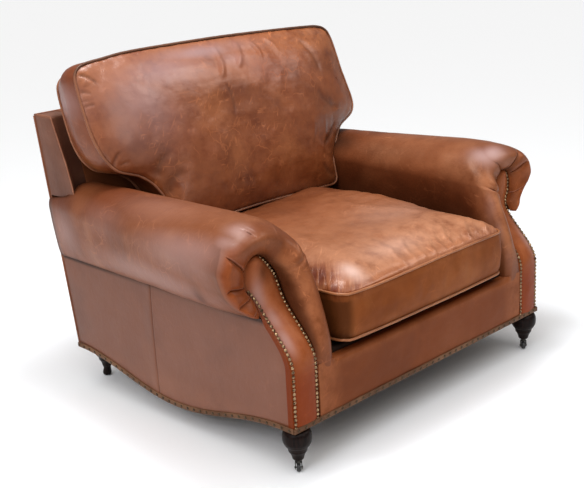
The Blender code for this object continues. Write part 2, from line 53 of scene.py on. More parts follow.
backdrop.inputs["Strength"].default_value = 0.28


def softbox(name, place, aim, size, watts, colour):
    """An oblong lamp at a place, turned towards the spot it lights."""
    data = bpy.data.lights.new(name, "AREA")
    data.shape = "RECTANGLE"
    data.size, data.size_y = size
    data.energy = watts
    data.color = colour
    lamp = bpy.data.objects.new(name, data)
    lamp.location = place
    lamp.rotation_euler = (Vector(aim) - Vector(place)).to_track_quat("-Z", "Y").to_euler()
    bpy.context.collection.objects.link(lamp)


softbox("overhead", (-0.1, 0.0, 2.4), (0.0, -0.1, 0.3), (0.7, 0.6), 28.0, (0.9, 0.94, 1.0))
softbox("side", (-3.5, -0.9, 2.1), (-0.2, 0.0, 0.5), (1.6, 1.4), 30.0, (0.86, 0.9, 1.0))
softbox("window", (0.1, -2.6, 1.75), (-0.3, 0.2, 0.8), (1.0, 1.2), 13.0, (0.96, 0.92, 0.9))
softbox("glint", (1.7, -1.3, 2.4), (0.0, 0.3, 0.9), (1.1, 0.8), 20.0, (1.0, 0.94, 0.9))
for name in ("window", "glint"):
    bpy.data.objects[name].visible_diffuse = False
sky = bpy.data.lights.new("ceiling", "SUN")
sky.energy = 2.25
sky.angle = math.radians(75.0)
ceiling = bpy.data.objects.new("ceiling", sky)
ceiling.rotation_euler = (math.radians(10.0), math.radians(-20.0), 0.0)
bpy.context.collection.objects.link(ceiling)

lens = bpy.data.cameras.new("studio_camera")
lens.lens = 67.5
lens.sensor_width = 36.0
camera = bpy.data.objects.new("studio_camera", lens)
camera_back = Vector((-0.6683, -0.6825, 0.296)).normalized()
camera_right = Vector((0.7027, -0.7097, -0.05))
camera_right = (camera_right - camera_right.dot(camera_back) * camera_back).normalized()
turn = Matrix((camera_right, camera_back.cross(camera_right), camera_back)).transposed().to_4x4()
camera.matrix_world = Matrix.Translation((-2.18017, -2.20549, 1.33901)) @ turn
bpy.context.collection.objects.link(camera)
bpy.context.scene.camera = camera


def new_finish(name):
    """A new material, a way to set its shader, and a maker of nodes that gives their output."""
    material = bpy.data.materials.new(name)
    material.use_nodes = True
    nodes, links = material.node_tree.nodes, material.node_tree.links

    def fill(node, inputs):
        for label, value in inputs.items():
            socket = node.inputs[label]
            if isinstance(value, bpy.types.NodeSocket):
                links.new(value, socket)
            else:
                socket.default_value = (*value, 1.0) if socket.type == "RGBA" else value

    def shade(inputs):
        fill(nodes["Principled BSDF"], inputs)

    def add(kind, inputs, output, **settings):
        node = nodes.new("ShaderNode" + kind)
        for label, value in settings.items():
            setattr(node, label, value)
        fill(node, inputs)
        return node.outputs[output]

    return material, shade, add


bpy.ops.object.select_all(action="DESELECT")
bpy.ops.mesh.primitive_plane_add(size=40.0, location=(0.0, 0.0, -0.0005))
floor = bpy.context.object
floor.name = "floor"
floor_paint, shade, _ = new_finish("floor_paint")
shade({"Base Color": (0.985, 0.985, 0.985), "Roughness": 0.9, "Specular IOR Level": 0.1})
floor.data.materials.append(floor_paint)


# ---- Outside arms -------------------------------------------------------------------
# Flat panels of waxed, aniline dyed hide over thin padding. Each is two pieces of hide
# with one upright seam, blind tacked under the roll and turned under the swept edge.
FACE_Y = -0.49
FACE_LEAN = 0.12
BASE_Z = 0.123


def smooth(t):
    t = np.clip(t, 0.0, 1.0)
    return t * t * (3.0 - 2.0 * t)


def face_y(z):
    """Front plane of the arms: upright to the shoulder, then swung back to the head."""
    return FACE_Y + FACE_LEAN * smooth((z - 0.28) / 0.19)


def rear_y(z):
    """Raked outside back."""
    return 0.411 + 0.151 * (z - BASE_Z)


def back_front_y(z):
    """Front of the inside back."""
    return 0.38 + 0.25 * (z - 0.598)


def base_edge(y):
    """Swept bottom edge of the sides."""
    reach = np.clip(np.abs(y + 0.03) / 0.42, 0.0, 1.0)
    return BASE_Z - 0.06 * np.cos(reach * math.pi / 2.0) ** 2


def waves(points, scale, seed):
    """Smooth noise at each point, about -1 to 1."""
    shift = Vector((seed, seed * 1.7, -seed))
    return np.array([noise.fractal(Vector(p) * scale + shift, 0.9, 2.0, 3) for p in points])


def leather(name, deep, mid, pale, roughness=0.4, mottle=1.0, scuffs=1.0, gloss=0.35, wax=0.12,
            sheen=(1.0, 0.8, 0.66), highlight_colour=(0.43, 0.265, 0.235), gathers=45.0):
    """Waxed hide: clouded colour, paler where it is rubbed or a highlight is painted, darker where shade is
    painted into creases and recesses.
    """
    material, shade, add = new_finish(name)
    where = add("TexCoord", {}, "Object")

    def clouds(scale, detail=4.0, coarse=0.55, warp=0.0, stretch=None, turn=(0.0, 0.0, 0.0)):
        source = where
        if stretch:
            source = add("Mapping", {"Vector": where, "Scale": tuple(1.0 / k for k in stretch),
                                     "Rotation": turn},
                         "Vector", vector_type="TEXTURE")
        return add("TexNoise", {"Vector": source, "Scale": scale, "Detail": detail, "Roughness": coarse,
                                "Distortion": warp}, "Fac")

    def ramp(value, low, high):
        return add("MapRange", {"Value": value, "From Min": low, "From Max": high}, "Result",
                   interpolation_type="SMOOTHSTEP")

    def maths(operation, *values):
        return add("Math", dict(enumerate(values)), "Value", operation=operation)

    def times(a, b):
        return maths("MULTIPLY", a, b)

    def plus(a, b):
        return maths("ADD", a, b)

    def blend(factor, a, b, mode="MIX"):
        return add("Mix", {"Factor": factor, "A": a, "B": b}, "Result", data_type="RGBA", blend_type=mode)

    def tinted(colour, tint):
        return blend(1.0, colour, tint, "MULTIPLY")

    wear_and_highlight, shade_and_dirt, deep_tone_and_shade, painted_highlight, gather = (add("Attribute", {}, "Fac", attribute_name=label)
                                         for label in ("wear_and_highlight", "shade_and_dirt", "deep_tone_and_shade", "painted_highlight", "gather"))

    # broad clouding, then smaller blotches
    colour = blend(ramp(clouds(3.4, 5.0, 0.55, 0.6), 0.3, 0.52), deep, mid)
    colour = blend(times(ramp(clouds(5.2, 4.0, 0.5, 0.3), 0.5, 0.74), 0.75 * mottle), colour, pale)
    blotch = blend(ramp(clouds(17.0, 6.0, 0.62, 0.4), 0.3, 0.7), (0.4, 0.36, 0.34), (0.62, 0.63, 0.64))
    colour = blend(0.42 * mottle, colour, blotch, "OVERLAY")

    # rubbed crowns and edges, and painted highlights, made paler
    colour = blend(times(wear_and_highlight, ramp(clouds(24.0, 6.0, 0.66), 0.22, 0.66)), colour,
                   tuple(c * 1.16 for c in pale))

    # crossing hair-fine scuffs, and crazed pull-up lines
    hairs = None
    for stretch, turn in (((9.0, 150.0, 24.0), (0.3, 0.2, 0.7)), ((120.0, 10.0, 30.0), (-0.4, 0.5, 0.3)),
                          ((26.0, 22.0, 170.0), (0.5, 0.3, -0.5))):
        line = ramp(clouds(1.0, 2.0, 0.5, 0.3, stretch, turn), 0.635, 0.7)
        hairs = line if hairs is None else maths("MAXIMUM", hairs, line)
    hairs = times(hairs, ramp(clouds(6.5, 3.0, 0.6), 0.5, 0.66))
    hairs = times(hairs, plus(times(wear_and_highlight, 0.8), 0.28))
    warp = add("TexNoise", {"Vector": where, "Scale": 9.0, "Detail": 3.0}, "Color")
    bent = add("VectorMath", {0: warp, 1: (0.16, 0.16, 0.16), 2: where}, "Vector", operation="MULTIPLY_ADD")
    craze = add("TexVoronoi", {"Vector": bent, "Scale": 15.0}, "Distance", feature="DISTANCE_TO_EDGE")
    crazed = times(maths("SUBTRACT", 1.0, ramp(craze, 0.004, 0.03)), ramp(clouds(7.5, 4.0, 0.6), 0.5, 0.64))
    marks = maths("MAXIMUM", hairs, times(crazed, 0.42))
    colour = blend(times(marks, 0.5 * scuffs), colour, tuple(min(1.0, c * 1.9) for c in pale))

    # deeper colour where the hide is unrubbed, and where shade is painted
    colour = blend(deep_tone_and_shade, colour, tinted(colour, (0.8, 0.5, 0.26)))
    # painted highlight: a cool pale sheen painted where light glances off the crowns
    colour = blend(times(painted_highlight, ramp(clouds(8.0, 3.0, 0.5, 0.3), 0.05, 0.5)), colour, highlight_colour)
    # fine lines where it is gathered into a seam, painted dark as shade in their creases
    along = (0.0, 0.0, math.radians(gathers))
    lines = times(ramp(clouds(1.0, 3.0, 0.6, 0.25, (10.0, 120.0, 10.0), along), 0.4, 0.56), gather)
    colour = blend(times(lines, 0.92), colour, tinted(colour, (0.44, 0.18, 0.11)))
    # painted shade in the creases, recesses and shadowed parts, with some wax and dirt
    colour = blend(times(shade_and_dirt, 0.86), colour, tuple(c * 0.16 for c in deep))

    rough = maths("MULTIPLY_ADD", clouds(12.0, 5.0, 0.6), 0.22, roughness - 0.11)
    rough = plus(plus(rough, times(marks, 0.1)), times(shade_and_dirt, 0.22))
    relief = plus(times(clouds(46.0, 5.0, 0.58, 0.5), 0.7), times(marks, -0.12))
    relief = plus(relief, times(clouds(1.0, 3.0, 0.5, 0.8, (34.0, 90.0, 60.0)), 0.4))
    relief = plus(relief, times(lines, -0.8))
    pores = add("TexVoronoi", {"Vector": where, "Scale": 520.0}, "Distance")
    fine = add("Bump", {"Strength": 0.16, "Distance": 0.0005, "Height": pores}, "Normal")
    folds = add("Bump", {"Strength": 0.34, "Distance": 0.003, "Height": relief, "Normal": fine}, "Normal")
    shade({"Base Color": colour, "Roughness": rough, "Normal": folds, "Specular IOR Level": gloss,
           "Specular Tint": sheen, "Coat Weight": wax, "Coat Roughness": 0.28})
    return material


def grid_piece(name, points, wrap=False, caps=False):
    """A primitive grid laid over rows of points; wrap closes each row into a ring."""
    rows, columns = points.shape[:2]
    bpy.ops.object.select_all(action="DESELECT")
    bpy.ops.mesh.primitive_grid_add(x_subdivisions=columns - (0 if wrap else 1), y_subdivisions=rows - 1)
    piece = bpy.context.object
    piece.name = name
    if wrap:
        points = np.concatenate([points, points[:, :1]], axis=1)
    piece.data.vertices.foreach_set("co", points.reshape(-1))
    piece.data.update()
    bpy.ops.object.mode_set(mode="EDIT")
    bpy.ops.mesh.select_all(action="SELECT")
    bpy.ops.mesh.remove_doubles(threshold=0.00001)
    if caps:
        bpy.ops.mesh.select_all(action="DESELECT")
        bpy.ops.mesh.select_non_manifold()
        bpy.ops.mesh.edge_face_add()
        bpy.ops.mesh.select_all(action="SELECT")
    bpy.ops.mesh.normals_make_consistent(inside=False)
    bpy.ops.object.mode_set(mode="OBJECT")
    return piece


def select_only(piece):
    """Makes a piece the one that the object tools work on."""
    bpy.ops.object.select_all(action="DESELECT")
    piece.select_set(True)
    bpy.context.view_layer.objects.active = piece


def finish_piece(piece, material, body="root", angle=None):
    """Material, smooth shading, and the body that carries the piece."""
    piece.data.materials.clear()
    piece.data.materials.append(material)
    select_only(piece)
    bpy.ops.object.transform_apply(location=True, rotation=True, scale=True)
    if angle is None:
        bpy.ops.object.shade_smooth()
    else:
        bpy.ops.object.shade_smooth_by_angle(angle=math.radians(angle))
    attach(piece, body)


def paint(piece, label, values):
    """A number from 0 to 1 on each point, read by the hide's finish."""
    layer = piece.data.attributes.get(label) or piece.data.attributes.new(label, "FLOAT", "POINT")
    layer.data.foreach_set("value", np.clip(values, 0.0, 1.0).astype(np.float32))


def patches(points, places):
    """Soft patches round places in space: centre, reach along x, y and z, and strength."""
    total = np.zeros(len(points))
    for centre, reach, strength in places:
        total = np.maximum(total, strength * np.exp(-(((points - centre) / reach) ** 2).sum(axis=1)))
    return total


def corners(piece):
    """Coordinates of a piece's points as rows."""
    spots = np.empty(len(piece.data.vertices) * 3)
    piece.data.vertices.foreach_get("co", spots)
    return spots.reshape(-1, 3)


def move_corners(piece, spots):
    """Puts a piece's points where the rows say."""
    piece.data.vertices.foreach_set("co", spots.reshape(-1))


def normals_of(piece):
    """Direction the surface faces at each point."""
    values = np.empty(len(piece.data.vertices) * 3)
    piece.data.update()
    piece.data.vertices.foreach_get("normal", values)
    return values.reshape(-1, 3)


def thicken(piece, thickness, outward):
    """Gives a sheet of hide its thickness on the inner side; outward says if its faces look out."""
    wall = piece.modifiers.new("hide_thickness", "SOLIDIFY")
    wall.thickness = thickness
    wall.offset = -1.0 if outward else 1.0
    bpy.ops.object.modifier_apply(modifier=wall.name)


side_hide = leather("side_hide", (0.131, 0.04, 0.018), (0.168, 0.053, 0.024), (0.23, 0.086, 0.044),
                    roughness=0.44, mottle=0.35, scuffs=0.35, gloss=0.4, wax=0.08, sheen=(1.0, 0.92, 0.86))
SIDE_X = 0.524
SIDE_FRONT_Y, SIDE_SEAM_Y, SIDE_REAR_Y = -0.478, 0.035, 0.4
# share of the panel's length over which the mesh is finer, beside the seam
SEAM_SHARE = 0.02
for name, side in (("outside_arm_left", -1), ("outside_arm_right", 1)):
    ahead = np.concatenate([np.linspace(0.0, 0.975, 32), 1.0 - SEAM_SHARE * np.linspace(1.0, 0.0, 9) ** 1.5])
    behind = np.concatenate([SEAM_SHARE * np.linspace(0.0, 1.0, 9)[1:] ** 1.5, np.linspace(0.03, 1.0, 28)])
    sheet = []
    for rise in np.linspace(0.0, 1.0, 44):
        line = []
        for start, stop, share in ([(SIDE_FRONT_Y, SIDE_SEAM_Y, u) for u in ahead]
                                   + [(SIDE_SEAM_Y, SIDE_REAR_Y, u) for u in behind]):
            y = start + (stop - start) * share
            z = BASE_Z + (0.394 + 0.012 * (y - SIDE_FRONT_Y) / 0.88 - BASE_Z) * rise
            front, rear = face_y(z) + 0.0203, rear_y(z) - 0.0118
            if start < SIDE_SEAM_Y:
                y = front + (SIDE_SEAM_Y - front) * share
            else:
                y = start + (rear - start) * share
            seam = math.exp(-((y - SIDE_SEAM_Y) / 0.0018) ** 2)
            edge = min(min(y - front, rear - y) / 0.1, 1.0)
            rounded = math.sin(math.pi * min(0.12 + rise * 0.88, 1.0)) ** 0.5
            puff = 0.0035 * math.sqrt(max(edge, 0.0)) * rounded
            puff += 0.0012 * math.exp(-((y - SIDE_SEAM_Y - 0.01) / 0.008) ** 2)
            line.append((side * (SIDE_X - 0.0015 + puff - 0.002 * seam), y,
                         z - (BASE_Z - base_edge(y)) * (1.0 - rise)))
        sheet.append(line)
    panel = grid_piece(name + "_cover", np.array(sheet))
    spots = corners(panel)
    ripple = 0.0011 * waves(spots, 5.0, 3.0) + 0.0003 * waves(spots, 24.0, 5.0)
    spots[:, 0] += side * ripple
    move_corners(panel, spots)
    seam = np.exp(-((spots[:, 1] - SIDE_SEAM_Y) / 0.0012) ** 2)
    # painted shadow along the top of the panel, under the roll; darker along the seam and towards the back
    shadow_under_roll = smooth((spots[:, 2] - 0.3785 - 0.01 * (spots[:, 1] + 0.4)) / 0.008)
    paint(panel, "shade_and_dirt", 0.34 * seam + shadow_under_roll + 0.1 * smooth((spots[:, 1] + 0.05) / 0.25))
    paint(panel, "wear_and_highlight", 0.3 * smooth((0.16 - spots[:, 2]) / 0.05))
    thicken(panel, 0.004, panel.data.polygons[0].normal.x * side > 0.0)
    finish_piece(panel, side_hide, angle=50)
    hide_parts(name)


# ---- Arm pads -----------------------------------------------------------------------
# Each arm is one hide over horsehair and cotton: it climbs the inner wall, rolls over the
# top rail and is pulled under. The front is gathered in pleats round the nailed facing,
# and its inner border stands well proud of it.
WALL_X = 0.372
WALL_FOOT_Z = 0.268
HEAD = (0.497, 0.487)
# inner and outer edge of the facing at a few heights: a strip with a head leaning outwards
FACING_HEIGHTS = (0.126, 0.4, 0.425, 0.44, 0.452, 0.466, 0.485, 0.5, 0.5135, 0.5255, 0.536, 0.544, 0.5482)
FACING_INNER = (0.435, 0.4345, 0.433, 0.4318, 0.4315, 0.435, 0.443,
                0.452, 0.462, 0.4715, 0.4825, 0.495, 0.511)
FACING_OUTER = (0.525, 0.525, 0.5262, 0.5295, 0.536, 0.5475, 0.5525,
                0.552, 0.5508, 0.5475, 0.5415, 0.532, 0.513)


def facing_edge(z, outer):
    """Inner or outer edge of the facing at a height."""
    return np.interp(z, FACING_HEIGHTS, FACING_OUTER if outer else FACING_INNER)


def head_edge(angle):
    """Edge of the facing seen from the middle of its head, by angle; 90 is up, 0 is outwards."""
    heights = np.array(FACING_HEIGHTS[2:])
    loop_x = np.concatenate([np.array(FACING_OUTER[2:]), np.array(FACING_INNER[2:])[::-1]])
    loop_z = np.concatenate([heights, heights[::-1]])
    around = np.degrees(np.arctan2(loop_z - HEAD[1], loop_x - HEAD[0]))
    around = np.where(around < -75.0, around + 360.0, around)
    reach = np.hypot(loop_x - HEAD[0], loop_z - HEAD[1])
    order = np.argsort(around)
    far = np.interp(angle, around[order], reach[order])
    return HEAD[0] + far * np.cos(np.radians(angle)), HEAD[1] + far * np.sin(np.radians(angle))


def evened(row, reach, weights=None):
    """Moving average of a row of numbers over a few neighbours on either side."""
    weights = np.ones(2 * reach + 1) if weights is None else weights
    return np.convolve(np.pad(row, reach, mode="edge"), weights / weights.sum(), mode="valid")


def arm_share(y):
    """How far along the arm a place is, from 0 at the front to 1 at the back."""
    return np.clip((y + 0.4) / 0.86, 0.0, 1.0)


def arm_section(climb, angle, t, draw=0.55):
    """Outer x and z of the roll at a share t of the arm. climb runs 0 to 1 up the wall, then
    angle falls from 180; draw is how tightly the front is pulled in underneath."""
    centre_z = 0.525 + 0.015 * t
    outer_x = 0.637 - 0.1 * t
    top = 0.634 - 0.026 * t - centre_z
    c, s = np.cos(np.radians(angle)), np.sin(np.radians(angle))
    near = smooth(1.0 - np.asarray(t) / 0.16)
    outer_x = outer_x + 0.006 * near
    top = top - 0.008 * smooth(1.0 - np.asarray(t) / 0.22)
    half = (outer_x - WALL_X) / 2.0
    seam_x = 0.54 - 0.014 * t
    under = s < 0.0
    taper = 1.0 + draw * near
    tuck = (outer_x - seam_x) * np.abs(c) ** taper * np.sign(c)
    x = np.where(under, seam_x + tuck, WALL_X + half + half * c)
    foot_z = 0.399 + 0.02 * near * (draw > 1.0)
    z = np.where(under, centre_z - (centre_z - foot_z) * np.abs(s) ** taper, centre_z + top * s)
    wall = climb < 1.0
    x = np.where(wall, WALL_X + 0.004 * np.sin(math.pi * climb), x)
    z = np.where(wall, WALL_FOOT_Z + (centre_z - WALL_FOOT_Z) * climb, z)
    return x, z


def pulled_section(climb, angle, t, pull, draw):
    """The section with its outer side drawn flat between the gathers by the pleating."""
    x, z = arm_section(climb, angle, t, draw)
    gathers = np.array([-86.0, -34.0, 6.0, 42.0, 88.0])
    flat_x = np.stack([arm_section(1.0, g, t, draw)[0] * np.ones_like(x) for g in gathers])
    flat_z = np.stack([arm_section(1.0, g, t, draw)[1] * np.ones_like(x) for g in gathers])
    index = np.clip(np.searchsorted(gathers, angle) - 1, 0, 3)
    share = np.clip((angle - gathers[index]) / (gathers[index + 1] - gathers[index]), 0.0, 1.0)
    column = np.arange(len(x))
    amount = pull * (angle < 88.0) * (climb >= 1.0)
    move_x = (flat_x[index, column] * (1.0 - share) + flat_x[index + 1, column] * share - x) * amount
    move_z = (flat_z[index, column] * (1.0 - share) + flat_z[index + 1, column] * share - z) * amount
    return tuple(c + evened(move, 13, np.hanning(27)) for c, move in ((x, move_x), (z, move_z)))


arm_hide = leather("arm_hide", (0.128, 0.035, 0.012), (0.185, 0.055, 0.02), (0.32, 0.124, 0.056),
                   roughness=0.37, mottle=0.7, scuffs=1.0, gloss=0.15, wax=0.02, sheen=(1.0, 0.74, 0.56))
# each fold: angle at the rim, angle at the facing, depth, and where it starts and stops
# between the facing, 0, and the side of the roll, 1
PLEATS = {"left": ((31, 30, 0.0044, -0.2, 0.9), (-27, -9, 0.0027, -0.2, 0.9), (-56, -44, 0.0026, -0.2, 0.9),
                   (-80, -66, 0.002, -0.2, 0.8), (72, 90, 0.0045, 0.52, 0.96), (78, 94, 0.002, 0.62, 0.95),
                   (122, 108, 0.002, 0.56, 0.9), (158, 158, 0.002, 0.55, 0.9)),
          "right": ((138, 84, 0.006, -0.2, 0.66), (50, 64, 0.006, -0.2, 0.95), (10, 46, 0.005, 0.02, 0.62),
                    (-34, -20, 0.0022, -0.2, 0.8), (176, 178, 0.0045, 0.38, 0.84),
                    (168, 171, 0.0018, 0.5, 0.78))}
# where shade is painted, and where highlights are painted: centre, reach, strength
PAINTED_SHADE = {
    "left": (((-0.598, -0.262, 0.44), (0.02, 0.022, 0.04), 0.6),),
    "right": (((0.4, 0.21, 0.59), (0.05, 0.11, 0.04), 0.82),
              ((0.393, -0.02, 0.585), (0.04, 0.16, 0.04), 0.34),
              ((0.385, -0.34, 0.565), (0.03, 0.08, 0.04), 0.16))}
PAINTED_HIGHLIGHTS = {
    "left": (((-0.545, -0.36, 0.614), (0.028, 0.034, 0.026), 0.58),
             ((-0.59, -0.358, 0.588), (0.024, 0.034, 0.03), 0.48),
             ((-0.59, -0.06, 0.445), (0.06, 0.3, 0.04), 0.42),
             ((-0.545, 0.4, 0.48), (0.06, 0.09, 0.07), 0.45),
             ((-0.57, 0.17, 0.56), (0.04, 0.12, 0.05), 0.22),
             ((-0.615, -0.2, 0.56), (0.03, 0.24, 0.06), 0.5),
             ((-0.52, -0.02, 0.605), (0.07, 0.18, 0.04), 0.14)),
    "right": (((0.468, -0.368, 0.604), (0.042, 0.028, 0.024), 0.95),
              ((0.44, -0.352, 0.596), (0.03, 0.04, 0.028), 0.8),
              ((0.378, -0.426, 0.472), (0.008, 0.018, 0.05), 0.2),
              ((0.378, -0.454, 0.396), (0.008, 0.018, 0.05), 0.2),
              ((0.386, -0.482, 0.32), (0.01, 0.014, 0.04), 0.16))}
for name, side, draw in (("left", -1, 0.36), ("right", 1, 1.15)):
    wall_part, roll_part = 52, 396  # points up the wall and round the roll
    climb = np.concatenate([np.linspace(0.0, 1.0, wall_part, endpoint=False), np.ones(roll_part)])
    angle = np.concatenate([np.full(wall_part, 180.0), np.linspace(180.0, -86.0, roll_part)])
    turned_in = 180.0 - angle
    front_x, front_z = arm_section(climb, angle, 0.0)
    head_x, head_z = head_edge(angle)
    edge_z = np.where(climb < 1.0, WALL_FOOT_Z + (head_z - WALL_FOOT_Z) * climb, head_z)
    edge_x = np.where(climb < 1.0, facing_edge(edge_z, False), head_x)
    edge_x = np.where(angle < -40.0, np.maximum(edge_x, 0.5315), edge_x)
    # the foot of the border goes down behind the face of the front border
    drop = 0.034 * smooth(1.0 - climb / 0.22) * (climb < 1.0)
    # how far forward the crown of the border stands, up the inside and then round the roll
    ridge_z = front_z + (edge_z - front_z) * 0.5
    inner_ridge = np.interp(ridge_z - drop,
                            (0.234, 0.252, 0.268, 0.282, 0.31, 0.36, 0.4, 0.45, 0.48, 0.51),
                            (-0.488, -0.4902, -0.4918, -0.4932, -0.4932,
                             -0.485, -0.474, -0.456, -0.443, -0.423))
    round_ridge = np.minimum(face_y(edge_z), -0.3715)
    round_ridge -= np.interp(turned_in, (40.0, 70.0, 120.0, 205.0, 240.0, 266.0),
                             (0.012, 0.014, 0.021, 0.021, 0.012, 0.003))
    share = smooth(turned_in / 48.0)
    ridge_y = inner_ridge * (1.0 - share) + round_ridge * share
    ridge_y = evened(ridge_y, 6)
    crown = np.where(climb < 1.0, 0.3 + 0.2 * climb,
                     np.interp(turned_in, (0.0, 60.0, 100.0, 130.0, 155.0, 266.0),
                               (0.5, 0.54, 0.5, 0.36, 0.25, 0.24)))
    back_off = np.where(climb < 1.0, 0.012 + 0.032 * climb,
                        np.interp(turned_in, (0.0, 35.0, 70.0, 100.0, 130.0, 155.0, 266.0),
                                  (0.044, 0.066, 0.076, 0.066, 0.044, 0.022, 0.014)))
    crown, back_off = evened(crown, 8), evened(back_off, 8)
    front_x, front_z = pulled_section(climb, angle, arm_share(ridge_y + back_off), 0.36, draw)
    arc = np.radians(1.0) * 1000.0 * np.hypot(front_x - HEAD[0], front_z - HEAD[1])
    rows = []
    for w in np.linspace(0.0, 1.0, 50):
        if w < 0.4:
            turn = w / 0.4 * math.pi / 2.0
            inward = 1.0 - (1.0 - crown) * (1.0 - math.cos(turn)) ** 0.9
            ahead = math.sin(turn) ** 0.8
            y = (face_y(edge_z) + 0.003) * (1.0 - ahead) + ridge_y * ahead
        else:
            turn = (1.0 - (w - 0.4) / 0.6) * math.pi / 2.0
            inward = crown * (1.0 - math.cos(turn)) ** 0.88
            y = ridge_y + back_off * (1.0 - math.sin(turn) ** 0.95)
        x = front_x + (edge_x - front_x) * inward
        z = front_z + (edge_z - front_z) * inward - drop
        groove = np.zeros_like(angle)
        pouch = np.ones_like(angle)
        lip = np.zeros_like(angle)
        for rim, root, depth, start, stop in PLEATS[name]:
            line = rim + (root - rim) * (1.0 - w) ** 1.3
            away = (angle - line) * arc * (1.0 - 0.5 * inward)
            long = (1.0 if start < 0.0 else smooth((w - start) / 0.12)) * smooth((stop - w) / 0.42)
            hollow = long * 1.5 * depth * np.exp(-(away / 2.0) ** 2)
            groove += hollow - long * 0.4 * depth * np.exp(-away / 6.0) * (away > 0.0)
            lip = np.maximum(lip, long * np.exp(-((away - 3.4) / 1.6) ** 2))
            if depth > 0.0025:
                pouch *= 1.0 - long * np.exp(-(away / 11.0) ** 2)
        groove *= (climb >= 1.0) * (1.0 if w > 0.06 else w / 0.06)
        swell = 0.0105 * pouch * math.sin(math.pi * min(w / 0.9, 1.0)) * smooth(turned_in / 20.0)
        rows.append(np.stack([x, y + groove - swell, z, np.full_like(x, w), groove, lip], axis=1))
    start_y = rows[-1][:, 1].copy()
    last_z = arm_section(climb, angle, 1.0)[1]
    past_post = smooth((42.0 - angle) / 22.0)
    stop_y = (back_front_y(last_z) + 0.004) * (1.0 - past_post) + (rear_y(last_z) - 0.0118) * past_post
    for v in (np.linspace(0.0, 1.0, 50) ** 1.25)[1:]:
        y = start_y + (stop_y - start_y) * v
        x, z = pulled_section(climb, angle, arm_share(y), 0.36 * smooth(1.0 - (y - start_y) / 0.04), draw)
        z = z - drop * smooth((-0.462 - y) / 0.015)
        none = np.zeros_like(x)
        rows.append(np.stack([x, y, z, np.full_like(x, 1.0 + v), none, none], axis=1))
    grid = np.array(rows)
    spots = grid[:, :, :3].copy()
    spots[:, :, 0] *= side
    pad = grid_piece(f"arm_pad_{name}_cover", spots)
    flat = corners(pad)
    if len(flat) != grid.shape[0] * grid.shape[1]:
        raise ValueError("the arm cover lost points")
    along, depth, lip = (grid[:, :, k].reshape(-1) for k in (3, 4, 5))
    round_angle = np.tile(angle, len(rows))
    height = np.tile(climb, len(rows))
    normals = normals_of(pad)
    from_core = flat[:, [0, 2]] - [side * HEAD[0], 0.45]
    outwards = np.sign(np.sum(normals[:, [0, 2]] * from_core, axis=1).mean())
    body = smooth((along - 0.85) * 3.0)
    lumps = 0.0022 * waves(flat, 4.2, 9.0 + side) + 0.0008 * waves(flat, 13.0, 2.0 + side)
    near_front = np.exp(-np.clip(along - 1.0, 0.0, None) * 9.0) * body
    lumps += 0.001 * near_front * waves(flat, 36.0, 6.0)
    flat += normals * outwards * (lumps * (0.3 + 0.7 * body))[:, None]
    move_corners(pad, flat)
    top = smooth((flat[:, 2] - 0.5) / 0.1)
    ridge = np.exp(-((along - 0.46) / 0.16) ** 2)
    lit, width = (0.24, 0.14) if side < 0 else (0.62, 0.4)
    crown_highlight = (np.exp(-((along - lit) / width) ** 2) * smooth((height - 0.06) / 0.25)
              * smooth((round_angle - 120.0) / 50.0))
    pouches = smooth((0.95 - along) / 0.25) * smooth((60.0 - round_angle) / 40.0)
    behind = smooth((along - 1.35) / 0.45)
    # paler on the rubbed top and ridge and on the pouches; painted highlights along the crown of the border,
    # on the lips of the pleats and, on the right arm, along the edge beside the facing
    paint(pad, "wear_and_highlight", (0.24 if side < 0 else 0.36) * top * (1.0 - 0.6 * behind)
          * np.clip(0.55 + 0.9 * waves(flat, 6.0, 12.0), 0.0, 1.0)
          + 0.16 * ridge + patches(flat, (((-0.399, -0.415, 0.535), (0.012, 0.03, 0.025), 0.6),))
          + 0.9 * crown_highlight + 0.6 * pouches + 0.8 * lip + 0.9 * smooth((0.06 - along) / 0.04) * (side > 0))
    # painted shade on the flank beside the facing, under the roll, at the foot of the inner wall, at the
    # back, in the pleats, round the rim of the pouches, along the inner edge, at the back of the top and in
    # the painted-shade patches
    flank = smooth((0.24 - along) / 0.16) * smooth(height / 0.25)
    under = smooth((-66.0 - round_angle) / 16.0) * (along > 0.95)
    climbed = height + (180.0 - round_angle) / 70.0
    foot = smooth((1.36 - climbed) / 0.75) * smooth((along - 1.0) / 0.12)
    rear = smooth((along - 1.965) / 0.03)
    valley = np.clip(depth / 0.0055, 0.0, 1.0) ** 1.6
    front = smooth((0.95 - along) / 0.25)
    outside = smooth((70.0 - round_angle) / 50.0)
    rim = np.exp(-((along - 0.98) / 0.05) ** 2) * smooth((44.0 - round_angle) / 14.0)
    inner_edge = np.exp(-((along - 0.96) / 0.16) ** 2) * smooth((0.9 - height) / 0.3) * (side < 0)
    paint(pad, "shade_and_dirt", 0.68 * flank * (1.0 - outside) + 0.55 * under + 0.92 * foot + 0.5 * rear
          + (0.26 if side < 0 else 0.46) * valley + 0.34 * rim + 0.3 * inner_edge
          + 0.22 * behind * top + patches(flat, PAINTED_SHADE[name]))
    # deeper colour painted as shade on the front, at the foot of the inner wall and at the back of the top
    paint(pad, "deep_tone_and_shade", front * ((0.4 if side < 0 else 0.22) + 0.6 * outside) + 0.95 * foot
          + 0.5 * behind * top)
    # painted highlights on the crowns of the rolls and a faint one along the pleat lips
    paint(pad, "painted_highlight", patches(flat, PAINTED_HIGHLIGHTS[name]) * (1.0 - 0.8 * foot) * (1.0 - 0.9 * pouches)
          + 0.25 * lip)
    thicken(pad, 0.004, outwards > 0)
    finish_piece(pad, arm_hide)
    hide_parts(f"arm_pad_{name}")


